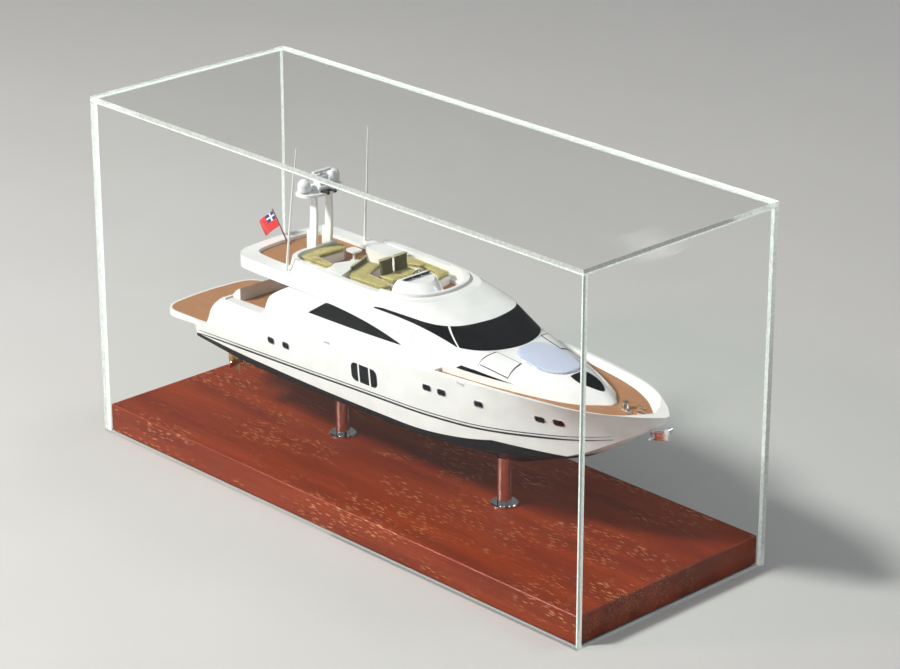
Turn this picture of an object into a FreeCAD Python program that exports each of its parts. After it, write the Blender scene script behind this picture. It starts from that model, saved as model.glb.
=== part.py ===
"""Acrylic display case with a model motor yacht on two pedestals.

Millimetres. The origin is the centre of the case's footprint on the table, +X runs towards the
yacht's bow, +Y towards its port side and +Z up. Every sub-part is exported to parts/LABEL.step.
"""
import FreeCAD, Part
import math
import os

import Sketcher
from FreeCAD import Placement, Rotation, Vector

doc = FreeCAD.newDocument("DisplayCase")
SUBPARTS = []

# ---------------------------------------------------------------- driving dimensions

DIMENSIONS = {
    # acrylic cover
    "case_length": 600,
    "case_width": 224,
    "case_height": 320,
    "sheet": 5,
    # board and its feet
    "board_gap": 0.5,
    "board_thickness": 25,
    "board_chamfer": 0.8,
    "feet_height": 2,
    "feet_radius": 10,
    "feet_inset": 22,
    # pedestals and the studs inside them
    "pedestal_aft_station": -97,
    "pedestal_fore_station": 107,
    "tube_radius": 6.35,
    "tube_bore": 2.25,
    "flange_radius": 12,
    "flange_height": 2.4,
    "flange_dome": 0.5,
    "stud_radius": 2,
    "thread_gap": 0.05,
    "counterbore_radius": 8,
    "counterbore_depth": 9,
    "washer_radius": 6,
    "washer_height": 1,
    "nut_flats": 7,
    "nut_height": 3.2,
    "stud_tail": 1.5,
    "insert_radius": 4,
    "insert_depth": 10,
    "stud_in_insert": 8,
    # yacht: heights of its decks above the table
    "platform_level": 112.5,
    "platform_thickness": 5.5,
    "cockpit_level": 135,
    "foredeck_level": 156.2,
    "teak": 1,
    "flybridge_level": 189,
    "flybridge_rim": 192,
    "window_recess": 0.8,
}

sheet = doc.addObject("Spreadsheet::Sheet", "Sizes")
for row, (alias, value) in enumerate(DIMENSIONS.items(), start=1):
    sheet.set(f"A{row}", alias)
    sheet.set(f"B{row}", str(value))
    sheet.setAlias(f"B{row}", alias)
doc.recompute()


def size(alias):
    """A driving dimension as a plain number of millimetres."""
    return float(sheet.get(alias))


def bind(thing, **expressions):
    """Bind properties of an object to spreadsheet expressions; x, y and z are its position."""
    for name, expression in expressions.items():
        path = f"Placement.Base.{name}" if name in ("x", "y", "z") else name
        text = str(expression)
        for alias in sorted(DIMENSIONS, key=len, reverse=True):
            text = text.replace(f"${alias}", f"Sizes.{alias}")
        thing.setExpression(path, text)
    return thing


def keep(thing):
    """Register a finished sub-part for export."""
    SUBPARTS.append(thing)
    return thing


def primitive(kind, name, **expressions):
    """A Part primitive whose sizes and position follow the spreadsheet."""
    return bind(doc.addObject(f"Part::{kind}", name), **expressions)


def group(label, things):
    """Identical separate solids that share one node."""
    compound = doc.addObject("Part::Compound", label)
    compound.Links = things
    return keep(compound)


def feature(label, shape):
    """A sub-part whose shape is worked out in code."""
    solid = doc.addObject("Part::Feature", label)
    solid.Shape = shape
    return keep(solid)


# ---------------------------------------------------------------- shape helpers

SPAN = 400  # longer than anything that is cut


def block(x0, x1, y0, y1, z0, z1):
    """A box between two corners."""
    return Part.makeBox(x1 - x0, y1 - y0, z1 - z0, Vector(x0, y0, z0))


def curve_through(points):
    """An edge that runs smoothly through the points."""
    curve = Part.BSplineCurve()
    curve.interpolate([Vector(*point) for point in points])
    return curve.toShape()


def profile_prism(points, y0=-SPAN / 2, y1=SPAN / 2):
    """A polygon in side view (x, z) pushed out from y0 to y1."""
    corners = [Vector(x, y0, z) for x, z in points]
    face = Part.Face(Part.makePolygon(corners + corners[:1]))
    return face.extrude(Vector(0, y1 - y0, 0))


def smooth_profile_prism(curve, corners):
    """A side-view prism with one smooth edge through (x, z) points, closed by straight corners."""
    start = -SPAN / 2
    smooth = curve_through([(x, start, z) for x, z in curve])
    chain = [curve[-1]] + corners + [curve[0]]
    straight = Part.makePolygon([Vector(x, start, z) for x, z in chain])
    face = Part.Face(Part.Wire([smooth] + straight.Edges))
    return face.extrude(Vector(0, SPAN, 0))


def plan_polygon(points, z0, z1):
    """A plan-view polygon (x, y) between two heights."""
    corners = [Vector(x, y, z0) for x, y in points]
    return Part.Face(Part.makePolygon(corners + corners[:1])).extrude(Vector(0, 0, z1 - z0))


def symmetric_wire(half, z):
    """A closed plan outline: a spline through the port half and its mirror image, and a straight end.

    The half outline starts at the straight end and finishes on the centreline.
    """
    port = [(x, y, z) for x, y in half]
    starboard = [(x, -y, z) for x, y in reversed(half) if y > 0]
    smooth = curve_through(port + starboard)
    end = Part.makeLine(Vector(*starboard[-1]), Vector(*port[0]))
    return Part.Wire([smooth, end])


def symmetric_prism(half, z0, z1):
    """A symmetric plan outline between two heights."""
    return Part.Face(symmetric_wire(half, z0)).extrude(Vector(0, 0, z1 - z0))


def loft(wires, ruled=False):
    """A solid through closed wires."""
    return Part.makeLoft(wires, True, ruled)


def mirrored(shape):
    """The starboard copy of a port piece, or the other way round."""
    return shape.mirror(Vector(0, 0, 0), Vector(0, 1, 0))


def pair(shape):
    """A piece and its mirror image across the centreline."""
    return Part.makeCompound([shape, mirrored(shape)])


def rod(start, end, radius):
    """A round bar between two points."""
    a, b = Vector(*start), Vector(*end)
    return Part.makeCylinder(radius, (b - a).Length, a, b - a)


def tapered_rod(start, end, radius_start, radius_end):
    """A tapering round bar between two points."""
    a, b = Vector(*start), Vector(*end)
    return Part.makeCone(radius_start, radius_end, (b - a).Length, a, b - a)


def fuse(shapes):
    """One solid from overlapping pieces."""
    joined = shapes[0].multiFuse(shapes[1:])
    return joined.removeSplitter()


def soft_edges(shape, radius, choose):
    """Round the edges that the test picks."""
    return shape.makeFillet(radius, [edge for edge in shape.Edges if choose(edge)])


def upright(edge):
    """True for a straight vertical edge."""
    box = edge.BoundBox
    return box.ZLength > 0.5 and box.XLength < 1e-3 and box.YLength < 1e-3


def at_height(z):
    """A test for level edges at height z."""
    return lambda edge: abs(edge.BoundBox.ZMin - z) < 1e-3 and abs(edge.BoundBox.ZMax - z) < 1e-3


# ---------------------------------------------------------------- acrylic cover


def add_cover():
    """The top lies on four walls; the long walls cover the ends of the short ones."""
    half_x, half_y = "$case_length / 2", "$case_width / 2"
    wall = "$case_height - $sheet"
    keep(primitive("Box", "cover_top", Length="$case_length", Width="$case_width",
                   Height="$sheet", x=f"-{half_x}", y=f"-{half_y}", z=wall))
    for name, y in (("cover_front", f"-{half_y}"), ("cover_back", f"{half_y} - $sheet")):
        keep(primitive("Box", name, Length="$case_length", Width="$sheet", Height=wall,
                       x=f"-{half_x}", y=y))
    for name, x in (("cover_left", f"-{half_x}"), ("cover_right", f"{half_x} - $sheet")):
        keep(primitive("Box", name, Length="$sheet", Width="$case_width - 2 * $sheet",
                       Height=wall, x=x, y=f"-{half_y} + $sheet"))


# ---------------------------------------------------------------- board and feet


def origin_plane(body, role):
    """One of a body's own origin planes."""
    return next(item for item in body.Origin.OriginFeatures if item.Role == role)


def sketch_on(body, role, name):
    """A sketch on one of the body's origin planes."""
    sketch = body.newObject("Sketcher::SketchObject", name)
    sketch.AttachmentSupport = [(origin_plane(body, role), "")]
    sketch.MapMode = "FlatFace"
    return sketch


def centred_rectangle(sketch, length, width):
    """A rectangle centred on the sketch origin, its sides driven by two expressions."""
    corners = [(-50, -20), (50, -20), (50, 20), (-50, 20)]
    for i, (x, y) in enumerate(corners):
        after = corners[(i + 1) % 4]
        sketch.addGeometry(Part.LineSegment(Vector(x, y, 0), Vector(after[0], after[1], 0)))
    for i in range(4):
        sketch.addConstraint(Sketcher.Constraint("Coincident", i, 2, (i + 1) % 4, 1))
        sketch.addConstraint(Sketcher.Constraint("Horizontal" if i % 2 == 0 else "Vertical", i))
    sketch.addConstraint(Sketcher.Constraint("Symmetric", 0, 1, 2, 1, -1, 1))
    for name, kind, line, value in (("across", "DistanceX", 0, 100), ("up", "DistanceY", 1, 40)):
        number = sketch.addConstraint(Sketcher.Constraint(kind, line, 1, line, 2, value))
        sketch.renameConstraint(number, name)
    bind(sketch, **{"Constraints.across": length, "Constraints.up": width})


def circles_at_pedestals(sketch, radius):
    """One circle at each pedestal station, radius and place driven by the spreadsheet."""
    for i, station in enumerate(("$pedestal_aft_station", "$pedestal_fore_station")):
        side = -1 if i == 0 else 1
        sketch.addGeometry(Part.Circle(Vector(100 * side, 0, 0), Vector(0, 0, 1), 5))
        number = sketch.addConstraint(Sketcher.Constraint("Radius", i, 5))
        sketch.renameConstraint(number, f"radius{i}")
        sketch.addConstraint(Sketcher.Constraint("PointOnObject", i, 3, -1))
        number = sketch.addConstraint(Sketcher.Constraint("DistanceX", -1, 1, i, 3, 100 * side))
        sketch.renameConstraint(number, f"station{i}")
        bind(sketch, **{f"Constraints.radius{i}": radius, f"Constraints.station{i}": station})


def pocket_upwards(body, sketch, name, depth=None):
    """A pocket from the underside, to a depth or right through."""
    pocket = body.newObject("PartDesign::Pocket", name)
    pocket.Profile = sketch
    pocket.Reversed = True
    if depth is None:
        pocket.Type = 1
    else:
        bind(pocket, Length=depth)
    doc.recompute()
    return pocket


def add_base_board():
    """The veneered board: pad, two stud holes, two counterbores and eased edges."""
    body = doc.addObject("PartDesign::Body", "base_board")
    outline = sketch_on(body, "XY_Plane", "BoardOutline")
    centred_rectangle(outline, "$case_length - 2 * $sheet - 2 * $board_gap",
                      "$case_width - 2 * $sheet - 2 * $board_gap")
    pad = body.newObject("PartDesign::Pad", "BoardPad")
    pad.Profile = outline
    bind(pad, Length="$board_thickness")
    doc.recompute()
    solid_volume = pad.Shape.Volume
    holes = sketch_on(body, "XY_Plane", "StudHoles")
    circles_at_pedestals(holes, "$tube_bore")
    pocket_upwards(body, holes, "StudHolePocket")
    wells = sketch_on(body, "XY_Plane", "Counterbores")
    circles_at_pedestals(wells, "$counterbore_radius")
    pocket = pocket_upwards(body, wells, "CounterborePocket", "$counterbore_depth")
    removed = solid_volume - pocket.Shape.Volume
    least = 2 * math.pi * size("counterbore_radius") ** 2 * size("counterbore_depth")
    if removed < least:
        raise RuntimeError("the board's counterbores were not cut")
    top = size("board_thickness")
    names = [f"Edge{i}" for i, edge in enumerate(pocket.Shape.Edges, start=1)
             if (at_height(top)(edge) or upright(edge)) and edge.Curve.TypeId == "Part::GeomLine"
             and edge.BoundBox.DiagonalLength > top - 1e-3]
    chamfer = body.newObject("PartDesign::Chamfer", "EasedEdges")
    chamfer.Base = (pocket, names)
    bind(chamfer, Size="$board_chamfer")
    doc.recompute()
    bind(body, z="$feet_height")
    keep(body)


def add_feet():
    """Thin round pads, one near each corner of the board."""
    feet = []
    for i, (sx, sy) in enumerate(((-1, -1), (1, -1), (1, 1), (-1, 1))):
        feet.append(primitive(
            "Cylinder", f"Foot{i}", Radius="$feet_radius", Height="$feet_height",
            x=f"{sx} * ($case_length / 2 - $sheet - $feet_inset)",
            y=f"{sy} * ($case_width / 2 - $sheet - $feet_inset)"))
    group("base_feet", feet)


# ---------------------------------------------------------------- pedestals and studs

STATIONS = (("aft", "$pedestal_aft_station"), ("fore", "$pedestal_fore_station"))


def revolved_body(label, corners):
    """A PartDesign body turned about its own Z axis from an (r, z) polygon."""
    body = doc.addObject("PartDesign::Body", label)
    sketch = sketch_on(body, "XZ_Plane", f"{label}Profile")
    for i, (r, z) in enumerate(corners):
        after = corners[(i + 1) % len(corners)]
        sketch.addGeometry(Part.LineSegment(Vector(r, z, 0), Vector(after[0], after[1], 0)))
    for i in range(len(corners)):
        sketch.addConstraint(Sketcher.Constraint("Coincident", i, 2, (i + 1) % len(corners), 1))
    for i in range(len(corners)):
        for kind in ("DistanceX", "DistanceY"):
            value = corners[i][0 if kind == "DistanceX" else 1]
            sketch.addConstraint(Sketcher.Constraint(kind, -1, 1, i, 1, value))
    turned = body.newObject("PartDesign::Revolution", f"{label}Turned")
    turned.Profile = sketch
    turned.ReferenceAxis = (sketch, ["V_Axis"])
    turned.Angle = 360
    doc.recompute()
    return body


def add_pedestals(hull):
    """A tube up to the hull and a thin foot flange at each station."""
    top = size("feet_height") + size("board_thickness")
    flanges = []
    for name, station in STATIONS:
        height = lowest_over_tube(hull, size(station[1:])) - top
        bore, radius = size("tube_bore"), size("tube_radius")
        tube = revolved_body(f"pedestal_tube_{name}",
                             [(bore, 0), (radius, 0), (radius, height), (bore, height)])
        bind(tube, x=station, z="$feet_height + $board_thickness")
        keep(tube)
        edge, dome = size("flange_radius"), size("flange_dome")
        rise = size("flange_height")
        flange = revolved_body(f"Flange_{name}", [
            (radius, 0), (edge, 0), (edge, rise - dome), (edge - dome, rise - dome / 4),
            (edge - 2.5 * dome, rise), (radius, rise)])
        bind(flange, x=station, z="$feet_height + $board_thickness")
        flanges.append(flange)
    group("pedestal_flanges", flanges)


def add_fasteners(hull_bottom):
    """Studs from the counterbores to the inserts in the hull, with washers and nuts."""
    seat = "$feet_height + $counterbore_depth"
    studs, washers, nuts = [], [], []
    for name, station in STATIONS:
        low = size("feet_height") + size("counterbore_depth") - size("washer_height") \
            - size("nut_height") - size("stud_tail")
        high = hull_bottom(size(station[1:])) + size("stud_in_insert")
        studs.append(primitive("Cylinder", f"Stud_{name}", Radius="$stud_radius",
                               Height=high - low, x=station, z=low))
        disc = primitive("Cylinder", f"WasherDisc_{name}", Radius="$washer_radius",
                         Height="$washer_height", x=station, z=f"{seat} - $washer_height")
        washers.append(bored(disc, f"Washer_{name}", station, f"{seat} - $washer_height",
                             "$washer_height"))
        prism = primitive("Prism", f"NutPrism_{name}", Circumradius="$nut_flats / sqrt(3)",
                          Height="$nut_height", x=station,
                          z=f"{seat} - $washer_height - $nut_height")
        prism.Polygon = 6
        nuts.append(bored(prism, f"Nut_{name}", station,
                          f"{seat} - $washer_height - $nut_height", "$nut_height"))
    group("stand_studs", studs)
    group("stand_washers", washers)
    group("stand_nuts", nuts)


def bored(blank, name, station, z, height):
    """A blank with a stud hole through it."""
    drill = primitive("Cylinder", f"{name}Drill", Radius="$stud_radius + $thread_gap", Height=height,
                      x=station, z=z)
    ring = doc.addObject("Part::Cut", name)
    ring.Base = blank
    ring.Tool = drill
    return ring


# ---------------------------------------------------------------- hull

# x, keel height, chine half-breadth and height, sheer half-breadth and height, side bulge
HULL_LINES = [
    (-234, 73.5, 52, 96.5, 56.5, 148.5, 1.5),
    (-150, 71, 56.5, 93.2, 61, 148.3, 1.8),
    (-50, 71, 58.5, 94, 65, 153, 1.8),
    (50, 71, 57, 94.8, 65.5, 157.5, 1.0),
    (115, 71.6, 50.5, 97, 60.5, 160.3, 0.0),
    (160, 86, 40, 101.5, 55, 161.3, -1.5),
    (200, 101.5, 28, 109, 48, 162, -3.0),
    (230, 118, 16.5, 123, 40.5, 162.3, -3.5),
    (255, 135.5, 6.5, 138, 28, 162.5, -2.0),
    (274, 149.5, 2.4, 151, 14, 162.7, -0.6),
    (287, 158.5, 0.6, 159.1, 1.8, 163, 0.0),
]
KEEL, CHINE_Y, CHINE_Z, SHEER_Y, SHEER_Z, BULGE = range(1, 7)
HULL_SECTIONS = 26
KEEL_FLAT = 3.0  # half-breadth of the keel flat that sits on the pedestals


def slope(i, column):
    """Slope of one hull line at station i, kept flat where the line turns back."""
    def rise(j):
        before, after = HULL_LINES[j], HULL_LINES[j + 1]
        return (after[column] - before[column]) / (after[0] - before[0])
    if i == 0:
        return rise(0)
    if i == len(HULL_LINES) - 1:
        return rise(i - 1)
    left, right = rise(i - 1), rise(i)
    if left * right <= 0:
        return 0.0
    return 2 * left * right / (left + right)


def hull_line(x, column):
    """A fair curve through one column of the stations, read at x."""
    last = len(HULL_LINES) - 2
    i = next((j for j in range(last) if x < HULL_LINES[j + 1][0]), last)
    before, after = HULL_LINES[i], HULL_LINES[i + 1]
    length = after[0] - before[0]
    u = (x - before[0]) / length
    return ((1 + 2 * u) * (1 - u) ** 2 * before[column] + u * (1 - u) ** 2 * length * slope(i, column)
            + u * u * (3 - 2 * u) * after[column] + u * u * (u - 1) * length * slope(i + 1, column))


def side_at(x, z):
    """Half-breadth of the topsides at x and height z."""
    chine, sheer = hull_line(x, CHINE_Z), hull_line(x, SHEER_Z)
    u = (z - chine) / (sheer - chine)
    straight = hull_line(x, CHINE_Y) + u * (hull_line(x, SHEER_Y) - hull_line(x, CHINE_Y))
    return straight + 4 * hull_line(x, BULGE) * u * (1 - u)


def hull_wire(x, out=0.0):
    """One cross-section of the hull; out moves its sides outwards."""
    keel, chine_z, sheer_z = [hull_line(x, column) for column in (KEEL, CHINE_Z, SHEER_Z)]
    chine_y, sheer_y = hull_line(x, CHINE_Y) + out, hull_line(x, SHEER_Y) + out
    flat = min(KEEL_FLAT, chine_y / 2)
    middle = ((chine_y + sheer_y) / 2 + hull_line(x, BULGE), (chine_z + sheer_z) / 2)
    port = curve_through([(x, chine_y, chine_z), (x, *middle), (x, sheer_y, sheer_z)])
    starboard = curve_through([(x, -sheer_y, sheer_z), (x, -middle[0], middle[1]),
                               (x, -chine_y, chine_z)])
    lines = [((flat, keel), (chine_y, chine_z)), ((sheer_y, sheer_z), (-sheer_y, sheer_z)),
             ((-chine_y, chine_z), (-flat, keel)), ((-flat, keel), (flat, keel))]
    bottom, top, far_bottom, keel_line = [
        Part.makeLine(Vector(x, *a), Vector(x, *b)) for a, b in lines]
    return Part.Wire([bottom, port, top, starboard, far_bottom, keel_line])


def hull_envelope(out=0.0):
    """The hull as a full body, before the decks are cut into it."""
    start, end = HULL_LINES[0][0], HULL_LINES[-1][0]
    steps = [start + (end - start) * i / (HULL_SECTIONS - 1) for i in range(HULL_SECTIONS)]
    return loft([hull_wire(x, out) for x in steps])


# side views of the stern above the platform: its quarters, and the bulwark between the passages
QUARTER = [(-219, 112.5), (-211.2, 121.8), (-206, 131.8), (-196.4, 141.9), (-185.5, 149.5)]
TRANSOM = [(-223, 112.5), (-218, 122), (-213, 131.3), (-206, 138.5), (-198, 145.8), (-185.5, 147.5)]
COCKPIT_AFT = -195
COCKPIT_HALF = 50
COCKPIT_FORE = -108
PASSAGE_HALF = 33  # half-width of the bulwark across the transom, between the two passages
BULWARK_CAP = 3
BULWARK_FOOT = 8
DECK_STATIONS = [82, 110, 140, 170, 200, 220, 238, 252, 261]
DECK_TIP = 270


def foredeck_region():
    """The well inside the bulwark, whose inner faces lean outwards to the cap."""
    low, high = size("foredeck_level") - size("teak"), 170
    cap = hull_line(180, SHEER_Z)
    foot, head = [], []
    for x in DECK_STATIONS:
        widening = 6 * max(0, (x - 205) / 57)
        inner = min(hull_line(x, SHEER_Y) - BULWARK_FOOT - widening, side_at(x, low) - 2.5)
        outer = hull_line(x, SHEER_Y) - BULWARK_CAP
        foot.append((x, inner))
        head.append((x, inner + (outer - inner) * (high - low) / (cap - low)))
    lean = 3 * (high - low) / (cap - low)
    wires = [symmetric_wire(foot + [(DECK_TIP - 1.5, 4), (DECK_TIP, 0)], low),
             symmetric_wire(head + [(DECK_TIP - 1.5 + lean, 7), (DECK_TIP + lean, 0)], high)]
    return loft(wires, ruled=True)


def cockpit_cutter():
    """The cockpit well, the passages past the transom bulwark and their steps."""
    floor = size("cockpit_level") - size("teak")
    top = 190
    cutters = [block(COCKPIT_AFT, COCKPIT_FORE, -COCKPIT_HALF, COCKPIT_HALF, floor, top)]
    for side in (-1, 1):
        y0, y1 = sorted((side * PASSAGE_HALF, side * COCKPIT_HALF))
        cutters.append(block(COCKPIT_AFT - 10, COCKPIT_AFT, y0, y1, floor - 11.5, top))
        cutters.append(block(-240, COCKPIT_AFT - 10, y0, y1, size("platform_level"), top))
    return fuse(cutters)


def stern_cutter():
    """What rounds off the stern: the quarters' profile, and the bulwark's between the passages."""
    corners = [(-185.5, 260), (-260, 260), (-260, 112.5)]
    middle = block(-280, -150, -PASSAGE_HALF, PASSAGE_HALF, 100, 280)
    notch = profile_prism([(-185.5, 155), (-184.2, 146.8), (-150, 147.8), (-136, 148.2),
                           (-136, 155)])
    quarters = smooth_profile_prism(QUARTER, corners).cut(middle)
    return Part.makeCompound([quarters, smooth_profile_prism(TRANSOM, corners).common(middle), notch])


# centres (x, z) of the small ports in the topsides
PORTS = [(-119.5, 127.8), (-99, 129.2), (78, 143), (93.7, 142.8), (131.7, 142.3), (188.6, 142.5),
         (204.8, 142.9)]
PORT_SIZE = (8.5, 5.2)
TRIPLE_PANES = [(-13.5, -5.2), (-3.3, 8.2), (10.1, 18.4)]
TRIPLE_HEIGHT = (123.5, 140.5)


def port_prism(x, z, grow=0.0):
    """A rounded-rectangle prism through the hull side for a small port."""
    half_x, half_z = PORT_SIZE[0] / 2 + grow, PORT_SIZE[1] / 2 + grow
    prism = block(x - half_x, x + half_x, -SPAN / 2, SPAN / 2, z - half_z, z + half_z)
    radius = 1.9 + grow
    return soft_edges(prism, radius, lambda edge: edge.BoundBox.YLength > SPAN / 2)


def pane_prism(x0, x1, number):
    """A pane of the midships window; the outer two have large outer corners."""
    z0, z1 = TRIPLE_HEIGHT
    prism = block(x0, x1, -SPAN / 2, SPAN / 2, z0, z1)
    outer = {0: x0, 2: x1}.get(number)
    if outer is None:
        return prism
    return soft_edges(prism, 5.2, lambda edge: edge.BoundBox.YLength > SPAN / 2
                      and abs(edge.BoundBox.XMin - outer) < 1e-3)


def stripe_prisms():
    """Side-view bands of the two painted stripes: a wide one and a hairline above it."""
    path = [(-230, 100), (-165, 105.2), (-94, 109.6), (-28, 113), (20, 114.6), (68, 115.7),
            (114, 117), (154, 120), (191, 124.3), (214, 127.5), (241, 132.6)]
    bands = []
    for low, thick in ((0.0, 1.7), (3.4, 0.7)):
        lower = [(x, z + low) for x, z in path]
        upper = [(x, z + low + thick * min(1, (x + 240) / 40, (252 - x) / 60)) for x, z in path]
        bands.append(two_curve_prism(lower, upper))
    return bands


def two_curve_prism(lower, upper):
    """A side-view prism between two smooth curves."""
    start = -SPAN / 2
    below = curve_through([(x, start, z) for x, z in lower])
    above = curve_through([(x, start, z) for x, z in upper])
    ends = [Part.makeLine(Vector(upper[i][0], start, upper[i][1]),
                          Vector(lower[i][0], start, lower[i][1])) for i in (0, -1)]
    face = Part.Face(Part.Wire([below, ends[1], above, ends[0]]))
    return face.extrude(Vector(0, SPAN, 0))


def through(prisms, outer, inner):
    """What the prisms take out of the layer between two hull envelopes."""
    return Part.makeCompound([prism.common(outer).cut(inner) for prism in prisms])


def build_hull():
    """Hull moulding with decks, ports and stud inserts cut; returns the shapes by name."""
    envelope, proud = hull_envelope(), hull_envelope(0.25)
    core = hull_envelope(-size("window_recess"))
    ports = [port_prism(x, z) for x, z in PORTS]
    rims = [port_prism(x, z, 0.8).cut(port_prism(x, z)) for x, z in PORTS]
    panes = [pane_prism(x0, x1, i) for i, (x0, x1) in enumerate(TRIPLE_PANES)]
    glazing = through(ports, envelope, core)
    triple = through(panes, envelope, core)
    inserts = hull_inserts()
    body = envelope
    for cutter in (stern_cutter(), foredeck_region(), cockpit_cutter(), glazing, triple,
                   hull_insert_pockets()):
        body = body.cut(cutter)
    return {"hull": body, "porthole_glazing": glazing, "hull_windows": triple,
            "porthole_rims": through(rims, proud, envelope), "hull_inserts": inserts,
            "hull_pinstripes": through(stripe_prisms(), proud, envelope)}


def hull_insert_pockets():
    """The pockets for the inserts, with room above each for the end of its stud."""
    pockets = []
    for _, station in STATIONS:
        x = size(station[1:])
        pockets.append(Part.makeCylinder(size("insert_radius"), size("insert_depth") + 4,
                                         Vector(x, 0, keel_at(x) - 4)))
    return Part.makeCompound(pockets)


def hull_inserts():
    """Brass inserts, open right through for the studs."""
    rings = []
    for _, station in STATIONS:
        x = size(station[1:])
        foot = Vector(x, 0, keel_at(x))
        ring = Part.makeCylinder(size("insert_radius"), size("insert_depth"), foot)
        bore = size("stud_radius") + size("thread_gap")
        rings.append(ring.cut(Part.makeCylinder(bore, size("insert_depth"), foot)))
    return Part.makeCompound(rings)


def keel_at(x):
    """Height of the keel flat at x."""
    return hull_line(x, KEEL)


def lowest_over_tube(hull, x):
    """Height of the first point of the hull that a pedestal tube at x meets."""
    column = Part.makeCylinder(size("tube_radius"), 60, Vector(x, 0, 50))
    return hull.common(column).optimalBoundingBox(False).ZMin - 0.02


# ---------------------------------------------------------------- stern platform and teak


def swim_platform():
    """A slab with a gently curved after edge and round corners."""
    low = size("platform_level") - size("platform_thickness")
    half = [(-231, 53.5), (-256, 54.2), (-271.5, 52.6), (-279, 45), (-282.5, 30), (-284.5, 0)]
    slab = symmetric_prism(half, low, size("platform_level"))
    inner = [(-222.5, 50.5), (-238, 52), (-255, 52.4), (-270, 50.8), (-277, 44), (-280.5, 29.5),
             (-282.5, 0)]
    laid = symmetric_prism(inner, size("platform_level") - size("teak"), size("platform_level"))
    return slab.cut(laid), laid


def cockpit_teak():
    """Teak on the cockpit sole and on the step of each passage."""
    floor = size("cockpit_level") - size("teak")
    teak = size("teak")
    sole = block(COCKPIT_AFT, COCKPIT_FORE, -COCKPIT_HALF, COCKPIT_HALF, floor, floor + teak)
    step = block(COCKPIT_AFT - 9, COCKPIT_AFT - 1, PASSAGE_HALF + 1.5, COCKPIT_HALF - 1.5,
                 floor - 11.5, floor - 11.5 + teak)
    return Part.makeCompound([sole, step, mirrored(step)])


# ---------------------------------------------------------------- superstructure

HOUSE_FOOT = [(-139, 54.5), (-60, 55.5), (0, 55.3), (50, 53.2), (82, 50.3), (105, 45), (121, 34.5),
              (130, 16), (131, 0)]
HOUSE_WAIST = [(-139, 53), (-60, 54), (0, 53), (50, 49.8), (90, 44.8), (108, 39.5), (120, 29.5),
               (127.5, 14.5), (130, 0)]
HOUSE_BROW = [(-139, 52), (-60, 52.5), (0, 51), (30, 49.2), (58, 46.5), (76, 41.5), (86, 31.5),
              (91, 15.5), (93, 0)]
WAIST_LEVEL, BROW_LEVEL = 178, 192
COACHROOF = [  # x, base half-breadth, shoulder half-breadth and height, crown height
    (50, 46, 40, 182.5, 183.5),
    (76, 49.5, 42.5, 181.5, 183),
    (100, 48.5, 41.5, 179.3, 182),
    (125, 45, 37.5, 175.5, 178.8),
    (150, 40, 31.5, 172, 176.4),
    (175, 34, 25.5, 169, 173.5),
    (198, 27.5, 19, 165.2, 169.7),
    (213, 20.8, 13, 161.8, 165.8),
    (222.5, 13.2, 7.5, 159.2, 161.8),
    (227.5, 6.8, 3.6, 157.6, 159),
    (229.5, 2.6, 1.3, 156.9, 157.7),
]


def coachroof_wire(x, base, shoulder, shoulder_z, crown):
    """One cross-section of the coachroof: a closed curve with soft shoulders on a flat base."""
    foot = 150
    half = [(base, foot), (base - 0.3, (foot + shoulder_z) / 2 - 2), (shoulder + 2.2, shoulder_z - 3),
            (shoulder * 0.6, (shoulder_z + 2 * crown) / 3), (0, crown)]
    top = curve_through([(x, y, z) for y, z in half]
                        + [(x, -y, z) for y, z in reversed(half) if y > 0])
    return Part.Wire([top, Part.makeLine(Vector(x, -base, foot), Vector(x, base, foot))])


def house_envelope():
    """The saloon: nearly upright sides, then raked glazing up to the brow."""
    lower = loft([symmetric_wire(HOUSE_FOOT, 146), symmetric_wire(HOUSE_WAIST, WAIST_LEVEL)], True)
    upper = loft([symmetric_wire(HOUSE_WAIST, WAIST_LEVEL),
                  symmetric_wire(HOUSE_BROW, BROW_LEVEL)], True)
    return lower.fuse(upper).removeSplitter()


def windscreen_prism():
    """Side view of the wrap-round glazing: deep in front, a thin wedge along the sides."""
    lower = [(-8, 189.4), (22, 189), (50, 187.2), (74, 183.4), (94, WAIST_LEVEL + 0.6)]
    chain = [(94, WAIST_LEVEL + 0.6), (140, WAIST_LEVEL + 0.6), (140, 220), (24, 220),
             (12, BROW_LEVEL), (-8, 189.4)]
    start = -SPAN / 2
    edge = curve_through([(x, start, z) for x, z in lower])
    rest = Part.makePolygon([Vector(x, start, z) for x, z in chain])
    return Part.Face(Part.Wire([edge] + rest.Edges)).extrude(Vector(0, SPAN, 0))


def behind_the_glass():
    """The body inside the glazing: the same raked shape, three millimetres smaller."""
    glass = 3
    wires = []
    for outline, z in ((HOUSE_WAIST, WAIST_LEVEL), (HOUSE_BROW, BROW_LEVEL)):
        half = [(x - glass * (1 - y / 56), max(y - glass, 0)) for x, y in outline]
        wires.append(symmetric_wire(half, z - 0.5))
    return loft(wires, True).fuse(symmetric_prism(half, BROW_LEVEL - 0.6, BROW_LEVEL + 1))


def pillar_prisms():
    """The leaning white pillar on each side of the windscreen."""
    lean = [(70.5, 199), (72, 199), (97.5, 178), (96, 178)]
    return [profile_prism(lean, 20, 80), profile_prism(lean, -80, -20)]


def saloon_window_prism():
    """Side view of the long triangular saloon window."""
    return smooth_profile_prism([(-52, 179), (-20, 177), (12, 172.2), (36, 166.2)],
                                [(34, 165.6), (-79, 163.4), (-56, 178.6)])


def sliver_window_prism():
    """Side view of the sliver window low on the coachroof."""
    return profile_prism([(98, 162.8), (103, 166.2), (117, 165.6), (155, 161.8)])


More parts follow.
